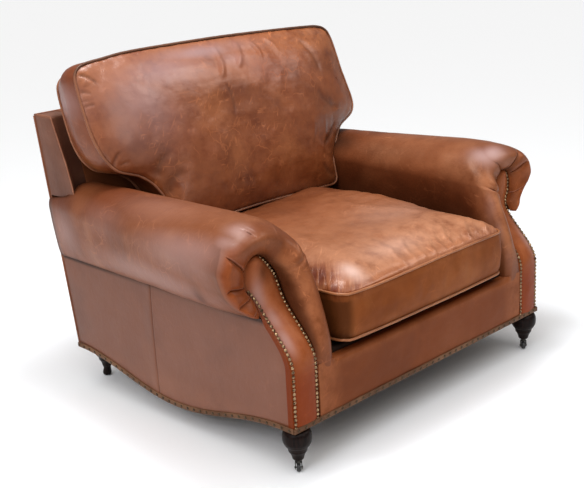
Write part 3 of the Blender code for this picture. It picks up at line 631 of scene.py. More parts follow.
# ---- Arm facings --------------------------------------------------------------------
# A shaped board wrapped in hide closes the front of each arm. It is fixed last, with a
# close row of domed, antiqued brass nails up one side, round the head and down the other.
facing_hide = leather("facing_hide", (0.185, 0.041, 0.01), (0.262, 0.064, 0.018), (0.4, 0.136, 0.056),
                      roughness=0.34, mottle=0.5, scuffs=0.45, gloss=0.11, wax=0.02, sheen=(1.0, 0.66, 0.42))


def patterned(name, low, high, texture, shader, stops=(0.0, 1.0), kind="TexNoise", stretch=None,
              vary=0.0, bump=None):
    """A finish whose colours, and roughness and relief if asked for, come from one texture."""
    material, shade, add = new_finish(name)
    where = add("TexCoord", {}, "Object")
    if stretch:
        where = add("Mapping", {"Vector": where, "Scale": stretch}, "Vector")
    pattern = add(kind, {"Vector": where, **texture}, "Fac")
    colour = add("ValToRGB", {"Fac": pattern}, "Color")
    for stop, place, paint_colour in zip(colour.node.color_ramp.elements, stops, (low, high)):
        stop.position = place
        stop.color = (*paint_colour, 1.0)
    shade({"Base Color": colour, **shader})
    if vary:
        rough = shader["Roughness"]
        shade({"Roughness": add("MapRange", {"Value": pattern, "To Min": rough - vary,
                                             "To Max": rough + vary}, "Result")})
    if bump:
        strength, distance = bump
        shade({"Normal": add("Bump", {"Strength": strength, "Distance": distance, "Height": pattern},
                             "Normal")})
    return material


antique_brass = patterned("antique_brass", (0.055, 0.032, 0.018), (0.5, 0.33, 0.18),
                          {"Scale": 160.0, "Detail": 4.0}, {"Metallic": 1.0, "Roughness": 0.36},
                          stops=(0.36, 0.66))


def nail_row(name, places, radius, height, material):
    """One domed nail, copied to each place and turned to its outward direction."""
    bpy.ops.object.select_all(action="DESELECT")
    bpy.ops.mesh.primitive_uv_sphere_add(segments=10, ring_count=8, radius=radius)
    nail = bpy.context.object
    bpy.ops.object.mode_set(mode="EDIT")
    bpy.ops.mesh.select_all(action="SELECT")
    bpy.ops.mesh.bisect(plane_co=(0, 0, 0), plane_no=(0, 0, 1), clear_inner=True, use_fill=True)
    bpy.ops.object.mode_set(mode="OBJECT")
    head = corners(nail)
    head[:, 2] *= height / radius
    faces = [tuple(face.vertices) for face in nail.data.polygons]
    bpy.data.objects.remove(nail, do_unlink=True)
    points, polygons = [], []
    for spot, outward in places:
        turn = np.array(Vector((0.0, 0.0, 1.0)).rotation_difference(Vector(outward)).to_matrix())
        polygons += [tuple(i + len(points) for i in face) for face in faces]
        points += [tuple(turn @ p + np.array(spot)) for p in head]
    mesh = bpy.data.meshes.new(name)
    mesh.from_pydata(points, [], polygons)
    row = bpy.data.objects.new(name, mesh)
    bpy.context.collection.objects.link(row)
    finish_piece(row, material)


def spaced(path, pitch, start=0.0):
    """Points at an even pitch along a polyline."""
    path = np.array(path)
    steps = np.concatenate([[0.0], np.cumsum(np.linalg.norm(np.diff(path, axis=0), axis=1))])
    count = int((steps[-1] - start) / pitch)
    marks = start + pitch * np.arange(count + 1)
    return np.stack([np.interp(marks, steps, path[:, k]) for k in range(3)], axis=1)


SIDES = (("left", -1), ("right", 1))
NAIL_INSET = 0.0066
FACING_NAIL_PITCH = 0.0113


def round_head(first, last):
    """Line of nails round the head of the facing, from one angle to another."""
    around = np.linspace(first, last, 60)
    return [(x - NAIL_INSET * math.cos(math.radians(a)), z - NAIL_INSET * math.sin(math.radians(a)))
            for x, z, a in zip(*head_edge(around), around)]


for name, side in SIDES:
    rings = []
    for z in np.concatenate([np.linspace(0.1262, 0.415, 50), np.linspace(0.42, 0.5478, 44)]):
        inner, outer = facing_edge(z, False), facing_edge(z, True)
        middle, half = (inner + outer) / 2.0, (outer - inner) / 2.0
        front, back = face_y(z), face_y(z) + 0.0118
        wrapped = front + 0.0118 + 0.0085 * smooth((0.405 - z) / 0.03)
        ring = [(inner, back), (inner, (front + back) / 2.0)]
        for u in np.linspace(-1.0, 1.0, 31):
            shoulder = 0.0042 * (1.0 - math.sqrt(max(1.0 - abs(u) ** 8, 0.0)))
            sink = 0.0013 * math.exp(-(((1.0 - abs(u)) * half - NAIL_INSET) / 0.0045) ** 2)
            arch = math.cos(min(abs(u) / 0.8, 1.0) * math.pi / 2.0) ** 0.9
            swell = (0.003 + 0.007 * smooth((z - 0.27) / 0.07)) * arch
            ring.append((middle + half * u, front + shoulder + sink - swell * min(half / 0.03, 1.0)))
        ring += [(outer, (front + back) / 2.0), (outer, wrapped)]
        rings.append([(side * x, y, z) for x, y in ring])
    facing = grid_piece(f"arm_facing_{name}_cover", np.array(rings), wrap=True, caps=True)
    spots = corners(facing)
    front = spots[:, 1] < face_y(spots[:, 2]) + 0.004
    spots[:, 1] += front * (0.001 * waves(spots, 9.0, 1.0) + 0.0003 * waves(spots, 40.0, 2.0))
    move_corners(facing, spots)
    near_edge = np.minimum(np.abs(np.abs(spots[:, 0]) - facing_edge(spots[:, 2], False)),
                           np.abs(np.abs(spots[:, 0]) - facing_edge(spots[:, 2], True)))
    wrapped_side = (np.abs(spots[:, 0]) > 0.52) * (spots[:, 1] > face_y(spots[:, 2]) + 0.003)
    # painted shade beside the nails, over the top of the head and on the wrapped side, and a painted shadow
    # beside the head
    paint(facing, "shade_and_dirt", 0.55 * front * np.exp(-((near_edge - 0.006) / 0.0042) ** 2)
          + 0.45 * smooth((spots[:, 2] - 0.44) / 0.09) * smooth((0.52 - np.abs(spots[:, 0])) / 0.05)
          + 0.35 * wrapped_side
          + patches(spots, (((-0.496, -0.38, 0.5), (0.014, 0.03, 0.022), 0.52),)))
    paint(facing, "wear_and_highlight", 0.4 * front * smooth((near_edge - 0.014) / 0.014)
          * smooth((spots[:, 2] - 0.25) / 0.1))
    # deeper colour painted as shade on the lower, upright part and on the wrapped side
    paint(facing, "deep_tone_and_shade", 0.06 + 0.84 * smooth((0.31 - spots[:, 2]) / 0.08) + 0.75 * wrapped_side)
    # painted highlights down the outer half of the facings
    paint(facing, "painted_highlight", front * patches(spots, (((-0.515, -0.39, 0.45), (0.017, 0.06, 0.04), 0.6),
                                                   ((-0.504, -0.425, 0.395), (0.015, 0.06, 0.028), 0.56),
                                                   ((-0.506, -0.455, 0.35), (0.014, 0.06, 0.034), 0.58),
                                                   ((0.503, -0.455, 0.345), (0.015, 0.06, 0.034), 0.55))))
    finish_piece(facing, facing_hide, angle=40)
    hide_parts(f"arm_facing_{name}")

    # the nails climb the inner edge and round the head; on the left arm the last pleats hide
    # the ones between the top of the head and its outer side
    climbing = [(facing_edge(z, False) + NAIL_INSET, z) for z in np.linspace(0.131, 0.462, 100)]
    climbing += round_head(196.0, 74.0)
    falling = round_head(72.0 if side > 0 else -33.0, -50.0)
    falling += [(facing_edge(z, True) - NAIL_INSET, z) for z in np.linspace(0.436, 0.131, 100)]
    places = []
    for line in (climbing, falling):
        for x, y, z in spaced([(x, face_y(z), z) for x, z in line], FACING_NAIL_PITCH):
            slope = (face_y(z + 0.001) - face_y(z - 0.001)) / 0.002
            places.append(((side * x, y + 0.0012, z), Vector((0.0, -1.0, slope)).normalized()))
    nail_row(f"facing_nails_{name}", places, 0.0047, 0.0034, antique_brass)


# ---- Front border -------------------------------------------------------------------
# The hide below the seat cushion, pulled over the front rail and a roll of felt, and
# running behind the pleated fronts of the arms at both ends.
border_hide = leather("border_hide", (0.145, 0.036, 0.01), (0.185, 0.047, 0.013), (0.25, 0.078, 0.028),
                      roughness=0.42, mottle=0.4, scuffs=0.4, gloss=0.07, wax=0.02)
outline = [(-0.4612, 0.1262), (FACE_Y + 0.001, 0.1262), (FACE_Y, 0.129)]
outline += [(FACE_Y - 0.0016 * math.sin(math.pi * (z - 0.129) / 0.118), z)
            for z in np.linspace(0.133, 0.24, 18)]
outline += [(FACE_Y + 0.016 - 0.016 * math.cos(a), 0.2515 + 0.0155 * math.sin(a))
            for a in np.linspace(0.15, math.pi / 2.0, 8)]
outline += [(y, 0.2672) for y in np.linspace(-0.47, -0.4612, 3)]
lengths = np.linspace(-0.4325, 0.4325, 110)
rings = np.array([[(x, y, z) for y, z in outline] for x in lengths])
border = grid_piece("front_border_cover", rings, wrap=True, caps=True)
spots = corners(border)
loose = smooth((-0.47 - spots[:, 1]) / 0.015)
spots[:, 1] -= loose * (0.0016 * waves(spots * [1.0, 1.0, 1.6], 5.5, 7.0) + 0.0004 * waves(spots, 28.0, 8.0))
spots[:, 2] += loose * 0.0016 * waves(spots, 7.0, 3.0) * smooth((spots[:, 2] - 0.22) / 0.04)
ends = smooth((np.abs(spots[:, 0]) - 0.366) / 0.012) * (spots[:, 2] > 0.23) * (spots[:, 1] < -0.473)
spots[:, 1] += (FACE_Y - 0.0006 - spots[:, 1]) * ends
spots[:, 2] += 0.0035 * ends * (spots[:, 2] > 0.262)
move_corners(border, spots)
# paler along the top edge and towards both ends, where it meets the arms
paint(border, "wear_and_highlight", 0.55 * np.exp(-((spots[:, 2] - 0.256) / 0.011) ** 2) * loose
      + 0.85 * smooth((np.abs(spots[:, 0]) - 0.34) / 0.06))
# painted shadow along the bottom edge, above the base band
paint(border, "shade_and_dirt", 0.5 * smooth((0.14 - spots[:, 2]) / 0.01))
finish_piece(border, border_hide, angle=50)
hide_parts("front_border")


# ---- Seat deck ----------------------------------------------------------------------
# Brown platform cloth over felt and the seat springs, hidden under the loose cushion but
# for a shadowed strip along its edge.
deck_cloth = patterned("deck_cloth", (0.01, 0.004, 0.002), (0.03, 0.012, 0.006),
                       {"Scale": 240.0, "Distortion": 1.0}, {"Roughness": 0.95, "Specular IOR Level": 0.15},
                       kind="TexWave", bump=(0.4, 0.0006))
bpy.ops.object.select_all(action="DESELECT")
bpy.ops.mesh.primitive_cube_add(size=1.0, location=(0.0, -0.0845, 0.2666), scale=(0.742, 0.752, 0.0246))
deck = bpy.context.object
deck.name = "seat_deck_cloth"
bpy.ops.object.transform_apply(location=True, rotation=True, scale=True)
bpy.ops.object.mode_set(mode="EDIT")
bpy.ops.mesh.select_all(action="SELECT")
bpy.ops.mesh.bevel(offset=0.006, segments=3)
bpy.ops.object.mode_set(mode="OBJECT")
finish_piece(deck, deck_cloth, angle=40)
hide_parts("seat_deck")


# ---- Back ---------------------------------------------------------------------------
# The inside back is a plain hide carried over the top rail. The outside back is a flat
# panel, welted down both sides and along the top, and the post tops are boxed in hide.
BACK_HALF = 0.5218
BACK_LOW, BACK_HIGH = 0.1262, 0.8048
RAIL_Z = 0.805
POST_X, POST_ROUND_Z = 0.4565, 0.7988
back_path = [(back_front_y(z) - 0.004 * math.sin(math.pi * (z - 0.2925) / 0.5), z)
             for z in np.linspace(0.2925, 0.785, 26)]
back_path += [(back_front_y(RAIL_Z) + 0.01 - 0.01 * math.cos(a), 0.79 + 0.015 * math.sin(a))
              for a in np.linspace(0.3, math.pi / 2.0, 6)]
back_path += [(y, RAIL_Z) for y in np.linspace(back_front_y(RAIL_Z) + 0.018, rear_y(RAIL_Z) - 0.0123, 6)]
rows = np.array([[(x, y, z) for x in np.linspace(-0.4554, 0.4554, 90)] for y, z in back_path])
inside = grid_piece("inside_back_cover", rows)
spots = corners(inside)
spots[:, 1] -= 0.0015 * waves(spots, 6.0, 21.0)
move_corners(inside, spots)
# painted shade all over, deeper towards the bottom behind the cushion
paint(inside, "shade_and_dirt", 0.25 + 0.5 * smooth((0.4 - spots[:, 2]) / 0.1))
thicken(inside, 0.006, inside.data.polygons[0].normal.y < 0.0)
finish_piece(inside, arm_hide, angle=50)
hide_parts("inside_back")

heights = np.linspace(BACK_LOW, BACK_HIGH, 60)
widths = np.linspace(-BACK_HALF, BACK_HALF, 90)
rows = np.array([[(x, rear_y(z), z) for x in widths] for z in heights])
edge_x = smooth((BACK_HALF - np.abs(rows[:, :, 0])) / 0.05)
edge_z = smooth((BACK_HIGH - rows[:, :, 2]) / 0.05) * smooth((rows[:, :, 2] - BACK_LOW) / 0.05)
rows[:, :, 1] += 0.0034 * edge_x * edge_z - 0.0022
outside = grid_piece("outside_back_cover", rows)
spots = corners(outside)
spots[:, 1] += 0.0012 * waves(spots, 4.5, 31.0)
move_corners(outside, spots)
thicken(outside, 0.009, outside.data.polygons[0].normal.y > 0.0)
finish_piece(outside, side_hide, angle=50)
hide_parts("outside_back")


def piping(name, path, radius, material, closed=False, wave=0.0):
    """A cord covered in a bias strip of hide, sewn into the seam along a path."""
    curve = bpy.data.curves.new(name, "CURVE")
    curve.dimensions = "3D"
    curve.bevel_depth = radius
    curve.bevel_resolution = 3
    curve.use_fill_caps = True
    line = curve.splines.new("POLY")
    line.points.add(len(path) - 1)
    for i, (point, place) in enumerate(zip(line.points, path)):
        point.co = (*place, 1.0)
        point.radius = 1.0 + wave * math.sin(i * 1.3) * math.sin(i * 0.37)
    line.use_cyclic_u = closed
    cord = bpy.data.objects.new(name, curve)
    bpy.context.collection.objects.link(cord)
    select_only(cord)
    bpy.ops.object.convert(target="MESH")
    cord = bpy.context.object
    cord.name = name
    finish_piece(cord, material)
    return cord


def post_front(z):
    """Swept front edge of the sides of the post covers."""
    return np.interp(z, (0.575, 0.613, 0.674, 0.74, 0.805), (0.35, 0.357, 0.375, 0.401, 0.427))


post_hide = leather("post_hide", (0.105, 0.037, 0.021), (0.145, 0.053, 0.03), (0.22, 0.094, 0.056),
                    roughness=0.44, mottle=0.5, scuffs=0.4, gloss=0.28, wax=0.05)
welt_hide = leather("welt_hide", (0.16, 0.055, 0.028), (0.24, 0.088, 0.045), (0.36, 0.155, 0.085),
                    roughness=0.4, mottle=0.8, scuffs=0.7)
for name, side in SIDES:
    rings = []
    for z in np.concatenate([np.linspace(0.575, 0.795, 40),
                             POST_ROUND_Z + 0.006 * np.sin(np.linspace(0.0, 1.4, 5))]):
        round_off = 0.006 * (1.0 - math.sqrt(max(1.0 - (max(z - POST_ROUND_Z, 0.0) / 0.0061) ** 2, 0.0)))
        plain, rear = back_front_y(z) + 0.0004 + round_off, rear_y(z) - 0.009 - round_off
        swept = post_front(z) + round_off
        ring = [(POST_X + (0.52 - round_off - POST_X) * u, plain + (swept - plain) * u ** 2.6)
                for u in np.linspace(0.0, 1.0, 16)]
        ring += [(BACK_HALF - round_off, swept + 0.0022)]
        ring += [(0.5222 - round_off + 0.0016 * math.sin(math.pi * u), swept + (rear - swept) * u)
                 for u in np.linspace(0.05, 0.97, 14)]
        ring += [(0.52 - round_off, rear), (POST_X, rear)]
        rings.append([(side * x, y, z) for x, y in ring])
    post = grid_piece(f"post_cover_{name}_hide", np.array(rings), wrap=True, caps=True)
    spots = corners(post)
    swell = 0.0016 * waves(spots, 12.0, 40.0 + side)
    spots[:, 0] += side * swell * smooth((np.abs(spots[:, 0]) - 0.515) / 0.005)
    move_corners(post, spots)
    paint(post, "wear_and_highlight", 0.4 * smooth((spots[:, 2] - 0.795) / 0.008))
    outer = np.abs(spots[:, 0])
    # painted shade on the inner faces of the post cover, deeper low down
    paint(post, "shade_and_dirt", 0.6 * smooth((0.64 - spots[:, 2]) / 0.05) * smooth((0.515 - outer) / 0.01)
          + 0.35 * smooth((0.512 - outer) / 0.01))
    finish_piece(post, post_hide, angle=45)
    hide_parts(f"post_cover_{name}")
    edge = [(side * 0.5212, post_front(z), z) for z in np.linspace(0.59, 0.8, 40)]
    edge += [(side * 0.519, 0.429 + d, 0.804) for d in np.linspace(0.002, 0.075, 14)]
    piping(f"post_welt_{name}", edge, 0.0022, welt_hide)
    side_welt = [(side * 0.5225, rear_y(z) - 0.003, z) for z in np.linspace(0.13, 0.801, 80)]
    piping(f"back_welt_{name}", side_welt, 0.0024, welt_hide)
top_welt = [(x, rear_y(0.8045) - 0.003, 0.8035) for x in np.linspace(-0.52, 0.52, 90)]
piping("back_welt_top", top_welt, 0.0026, welt_hide)


# ---- Base band ----------------------------------------------------------------------
# A narrow strip of thicker hide round the bottom edge, held by small dark nails set well
# apart, with a line of shadow where the cover tucks in above it.
band_hide = leather("band_hide", (0.06, 0.026, 0.013), (0.1, 0.045, 0.022), (0.19, 0.096, 0.05),
                    roughness=0.5, mottle=0.9, scuffs=0.8, gloss=0.15, wax=0.0)
dark_nail = patterned("dark_nail", (0.02, 0.013, 0.01), (0.13, 0.085, 0.05), {"Scale": 120.0},
                      {"Metallic": 1.0, "Roughness": 0.42})

BAND_LOW = 0.119
BAND_NAIL_PITCH = 0.0262
runs = {
    "front": [((x, FACE_Y), (0.0, -1.0, 0.0)) for x in np.linspace(-0.5265, 0.5265, 120)],
    "rear": [((x, rear_y(BASE_Z)), (0.0, 1.0, 0.0)) for x in np.linspace(-0.522, 0.522, 120)],
    "left": [((-0.5252, y), (-1.0, 0.0, 0.0)) for y in np.linspace(FACE_Y + 0.001, 0.409, 120)],
    "right": [((0.5252, y), (1.0, 0.0, 0.0)) for y in np.linspace(FACE_Y + 0.001, 0.409, 120)],
}
for name, run in runs.items():
    rings, centres = [], []
    for (x, y), outward in run:
        low = (BAND_LOW if name in ("front", "rear") else base_edge(y) - 0.004)
        ring = []
        for out, rise in ((0.0002, 0.0), (0.0026, 0.0004), (0.0032, 0.0022), (0.0034, 0.007),
                          (0.0032, 0.0118), (0.0026, 0.0136), (0.0002, 0.014)):
            ring.append((x + outward[0] * out, y + outward[1] * out, low + rise))
        rings.append(ring)
        centres.append((x + outward[0] * 0.0031, y + outward[1] * 0.0031, low + 0.007))
    band = grid_piece(f"base_band_{name}_strip", np.array(rings), wrap=True, caps=True)
    paint(band, "wear_and_highlight", 0.35 + 0.5 * waves(corners(band), 20.0, 3.0))
    finish_piece(band, band_hide, angle=50)
    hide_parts(f"base_band_{name}")
    places = [(tuple(c), run[0][1]) for c in spaced(centres, BAND_NAIL_PITCH, 0.013)]
    nail_row(f"base_nails_{name}", places, 0.0044, 0.0026, dark_nail)


# ---- Seat cushion -------------------------------------------------------------------
# A loose boxed cushion with a foam core in a feather wrap, its case piped along both
# edges. Years of sitting have rubbed the hide pale and pulled folds towards the front.
seat_hide = leather("seat_hide", (0.175, 0.052, 0.018), (0.265, 0.092, 0.038), (0.4, 0.175, 0.09),
                    roughness=0.33, mottle=0.9, scuffs=0.8, gloss=0.34, wax=0.1,
                    highlight_colour=(0.74, 0.49, 0.4), gathers=42.0)
# a darker, less glossy copy of the seat hide for the sides, partly painted shade as the sides face away from
# the light
seat_side_hide_shaded = leather("seat_side_hide_shaded", (0.16, 0.04, 0.009), (0.215, 0.058, 0.014), (0.31, 0.105, 0.034),
                         roughness=0.44, mottle=0.9, scuffs=0.6, gloss=0.05, wax=0.01)
seat_welt_hide = leather("seat_welt_hide", (0.22, 0.07, 0.025), (0.33, 0.118, 0.045), (0.48, 0.205, 0.09),
                         roughness=0.38, mottle=0.8, scuffs=0.8)


def smooth_outline(points, count):
    """Closed curve through points, evenly spaced."""
    points = np.array(points, dtype=float)
    around = len(points)
    fine = []
    for i in range(around):
        a, b, c, d = (points[(i + k) % around] for k in (-1, 0, 1, 2))
        for t in np.linspace(0.0, 1.0, 24, endpoint=False):
            bend = 2 * b + (c - a) * t + (2 * a - 5 * b + 4 * c - d) * t * t
            fine.append(0.5 * (bend + (3 * b - a - 3 * c + d) * t ** 3))
    fine = np.array(fine + [fine[0]])
    steps = np.concatenate([[0.0], np.cumsum(np.linalg.norm(np.diff(fine, axis=0), axis=1))])
    marks = np.linspace(0.0, steps[-1], count, endpoint=False)
    return np.stack([np.interp(marks, steps, fine[:, k]) for k in range(fine.shape[1])], axis=1)


FILLING_FRAMES = 20


def stuffed(name, rings, seams, voxel, pressure, growth, cap, ease):
    """Closes the rings into a case, remeshes it and fills it; the seams stay where they are.
    growth is how much the hide stretches, cap the most that a point moves, and ease how many
    times its movement is evened out with its neighbours'."""
    case = grid_piece(name, np.array(rings), wrap=True, caps=True)
    remesh = case.modifiers.new("even_mesh", "REMESH")
    remesh.mode = "VOXEL"
    remesh.voxel_size = voxel
    bpy.ops.object.modifier_apply(modifier=remesh.name)
    start = corners(case)
    sewn = np.concatenate(seams)
    tree = kdtree.KDTree(len(sewn))
    for index, place in enumerate(sewn):
        tree.insert(Vector(place), index)
    tree.balance()

    def from_seam(points):
        return np.array([tree.find(Vector(p))[2] for p in points])

    group = case.vertex_groups.new(name="sewn")
    for i, distance in enumerate(from_seam(start)):
        hold = 1.0 - min(max((distance - 0.007) / 0.012, 0.0), 1.0)
        if hold > 0.0:
            group.add([i], hold, "REPLACE")
    cloth = case.modifiers.new("filling", "CLOTH")
    for label, value in {
            "quality": 5, "mass": 0.4, "tension_stiffness": 12.0, "compression_stiffness": 12.0,
            "shear_stiffness": 6.0, "bending_stiffness": 0.8, "use_pressure": True,
            "uniform_pressure_force": pressure, "shrink_min": -growth,
            "vertex_group_mass": "sewn", "pin_stiffness": 1.0}.items():
        setattr(cloth.settings, label, value)
    cloth.settings.effector_weights.gravity = 0.0
    cloth.collision_settings.use_collision = False
    cloth.point_cache.frame_start = 1
    cloth.point_cache.frame_end = FILLING_FRAMES
    for number in range(1, FILLING_FRAMES + 1):
        bpy.context.scene.frame_set(number)
    evaluated = case.evaluated_get(bpy.context.evaluated_depsgraph_get())
    filled = np.empty(len(start) * 3)
    evaluated.data.vertices.foreach_get("co", filled)
    filled = filled.reshape(-1, 3)
    move = filled - start
    length = np.linalg.norm(move, axis=1, keepdims=True)
    move *= np.minimum(1.0, cap / np.maximum(length, 1e-9))
    ends = np.empty(len(case.data.edges) * 2, dtype=np.int32)
    case.data.edges.foreach_get("vertices", ends)
    ends = np.concatenate([ends.reshape(-1, 2), ends.reshape(-1, 2)[:, ::-1]])
    count = np.bincount(ends[:, 0], minlength=len(start))[:, None]
    for _ in range(ease):
        near = np.stack([np.bincount(ends[:, 0], move[ends[:, 1], k], len(start)) for k in range(3)],
                        axis=1)
        move = 0.4 * move + 0.6 * near / count
    filled = start + move
    case.modifiers.remove(cloth)
    bpy.context.scene.frame_set(1)
    move_corners(case, filled)
    case.vertex_groups.clear()
    finer = case.modifiers.new("finer", "SUBSURF")
    finer.levels = finer.render_levels = 1
    bpy.context.view_layer.objects.active = case
    bpy.ops.object.modifier_apply(modifier=finer.name)
    points = corners(case)
    return case, points, from_seam(points)


def add_folds(points, folds):
    """Height of the listed folds: (start, end, width, height), a groove where the height is negative."""
    rise = np.zeros(len(points))
    for (x0, y0), (x1, y1), width, height in folds:
        a, b = np.array([x0, y0]), np.array([x1, y1])
        along = b - a
        span = np.linalg.norm(along)
        along /= span
        offset = points - a
        t = offset @ along / span
        bend = 0.12 * span * np.sin(np.clip(t, 0.0, 1.0) * math.pi)
        across = offset @ np.array([-along[1], along[0]]) - bend
        fade = smooth(t / 0.25) * smooth((1.0 - t) / 0.35)
        rise += height * np.exp(-(across / width) ** 2) * fade
    return rise


SEAT_PIPE_LOW, SEAT_PIPE_HIGH = 0.2985, 0.4215
SEAT_MIDDLE = np.array([0.0, -0.102])
SEAT_HALF = np.array([0.345, 0.402])
seat_points = [(-0.3, -0.498), (-0.15, -0.503), (0.0, -0.504), (0.15, -0.503), (0.3, -0.499),
               (0.331, -0.488), (0.343, -0.455), (0.345, -0.3), (0.345, -0.1), (0.345, 0.1),
               (0.343, 0.255), (0.331, 0.288), (0.3, 0.298), (0.0, 0.3), (-0.3, 0.298),
               (-0.331, 0.288), (-0.343, 0.255), (-0.345, 0.1), (-0.345, -0.1), (-0.345, -0.3),
               (-0.341, -0.448), (-0.328, -0.485)]
seat_outline = smooth_outline(seat_points, 260)
seat_rings, seat_seams = [], []
for z, inset in ((0.28, 0.07), (0.2812, 0.03), (0.288, 0.011), (SEAT_PIPE_LOW, 0.0045),
                 (0.32, -0.002), (0.36, -0.0045), (0.4, -0.002), (SEAT_PIPE_HIGH, 0.0035),
                 (0.433, 0.011), (0.445, 0.028), (0.456, 0.056), (0.464, 0.095),
                 (0.469, 0.145), (0.471, 0.2)):
    ring = SEAT_MIDDLE + (seat_outline - SEAT_MIDDLE) * (1.0 - inset / SEAT_HALF)
    sag = 0.0025 * np.sin(ring[:, 0] * 9.0 + 0.6)
    seat_rings.append(np.column_stack([ring, np.full(len(ring), z) + sag * (z > 0.3)]))
    if z in (SEAT_PIPE_LOW, SEAT_PIPE_HIGH):
        seat_seams.append(seat_rings[-1].copy())
seat, spots, away = stuffed("seat_cushion_case", seat_rings, seat_seams, voxel=0.0085, pressure=4.0,
                            growth=0.006, cap=0.012, ease=2)
upper = smooth((spots[:, 2] - 0.425) / 0.03)
left_part = 1.0 - smooth((spots[:, 0] - 0.1) / 0.16)
spots[:, 2] -= 0.013 * smooth((spots[:, 1] + 0.02) / 0.17) * left_part * upper
flanks = smooth((np.abs(spots[:, 0]) - 0.14) / 0.14)
spots[:, 2] += 0.026 * np.exp(-((spots[:, 1] + 0.08) / 0.19) ** 2) * flanks * upper
move_corners(seat, spots)
upward = normals_of(seat)
top_side = smooth((upward[:, 2] - 0.1) / 0.5) * (spots[:, 2] > 0.4)
front_side = smooth((-upward[:, 1] - 0.4) / 0.4)
# folds pulled from the front seam, fanning towards the right-hand corner
front_folds = []
for i, x in enumerate(np.linspace(-0.09, 0.305, 11)):
    reach = 0.085 + 0.03 * math.sin(i * 1.7 + 0.5)
    lean = 0.35 + 0.09 * i + 0.15 * math.sin(i * 2.3)
    front_folds.append(((x, -0.5), (x + reach * lean, -0.5 + reach), 0.0075 + 0.002 * math.sin(i * 3.1),
                        (0.0042 + 0.002 * math.sin(i * 2.9)) * 0.62))
folds = add_folds(spots[:, :2], front_folds) * top_side * smooth((0.34 - spots[:, 0]) / 0.07)
ripples = np.sin(spots[:, 1] * 210.0 + 3.0 * waves(spots, 6.0, 2.0))
gathers = 0.0012 * ripples * np.exp(-away / 0.02) * top_side
broad = 0.004 * waves(spots, 3.6, 51.0) + 0.0012 * waves(spots, 13.0, 52.0)
broad *= smooth((0.345 - np.abs(spots[:, 0])) / 0.06) * 0.6 + 0.4
spots += upward * (folds + gathers + broad * smooth(away / 0.03))[:, None]
under = spots[:, 2] < 0.2803
spots[under, 2] = 0.2803
move_corners(seat, spots)
at_front = np.exp(-((spots[:, 1] + 0.44) / 0.1) ** 2) * top_side
gathered = top_side * patches(spots, (((-0.308, -0.39, 0.44), (0.034, 0.06, 0.08), 1.0),
                                      ((-0.335, -0.452, 0.43), (0.026, 0.04, 0.08), 1.0)))
paint(seat, "wear_and_highlight", 0.75 * at_front * (1.0 - 0.75 * gathered) + 0.3 * top_side
      + 0.3 * front_side * smooth(waves(spots, 9.0, 53.0) * 0.9 + 0.4))
rear_shade = smooth((spots[:, 1] - 0.1) / 0.15)
# painted shade along the seams, at the back of the sides and the top, in the fold valleys, low on the sides,
# in the gathers and round the left front corner
paint(seat, "shade_and_dirt", 0.22 * np.exp(-away / 0.004) + 0.55 * rear_shade * (1.0 - top_side)
      + np.clip(-folds / 0.004, 0.0, 0.62) + 0.35 * smooth((0.32 - spots[:, 2]) / 0.02) * (1.0 - top_side)
      + 0.54 * smooth((spots[:, 1] + 0.2) / 0.36) * top_side
      + 0.12 * gathered
      + 0.85 * smooth((-0.298 - spots[:, 0]) / 0.03) * (1.0 - top_side))
# deeper colour painted as shade towards the back of the top, and deeper along the front seam and in the
# gathers
paint(seat, "deep_tone_and_shade", (0.15 + 0.7 * smooth((spots[:, 1] + 0.25) / 0.4)) * top_side
      + 0.3 * np.exp(-((spots[:, 1] + 0.492) / 0.02) ** 2) * top_side
      + 0.7 * gathered)
# painted highlights on the front left corner and across the top
paint(seat, "painted_highlight", top_side * patches(spots, (((-0.254, -0.446, 0.45), (0.028, 0.032, 0.08), 0.84),
                                                ((-0.06, -0.42, 0.46), (0.11, 0.036, 0.08), 0.24),
                                                ((0.17, -0.25, 0.47), (0.13, 0.08, 0.08), 0.14))))
# the gathers' fine lines are painted dark as shade in their creases
at_seam = top_side * patches(spots, (((-0.285, -0.492, 0.43), (0.036, 0.024, 0.08), 0.8),
                                     ((0.25, -0.5, 0.44), (0.07, 0.03, 0.08), 0.35)))
paint(seat, "gather", np.maximum(gathered, at_seam))
finish_piece(seat, seat_hide)
seat.data.materials.append(seat_side_hide_shaded)
for face in seat.data.polygons:
    if face.center.z < SEAT_PIPE_HIGH + 0.001 and face.normal.z < 0.75:
        face.material_index = 1
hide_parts("seat_cushion")


def set_out(seam, centre, across, distance):
    """The seam moved a little away from the cushion's middle, square to the across axis."""
    outward = seam - centre
    outward[:, across] = 0.0
    return seam + distance * outward / np.linalg.norm(outward, axis=1, keepdims=True)


for name, seam in zip(("low", "high"), seat_seams):
    path = set_out(seam, (*SEAT_MIDDLE, 0.0), 2, 0.0024)
    path[:, 2] += 0.0006 * waves(path, 12.0, 60.0)
    piping(f"seat_piping_{name}", path, 0.0034, seat_welt_hide, closed=True, wave=0.05)


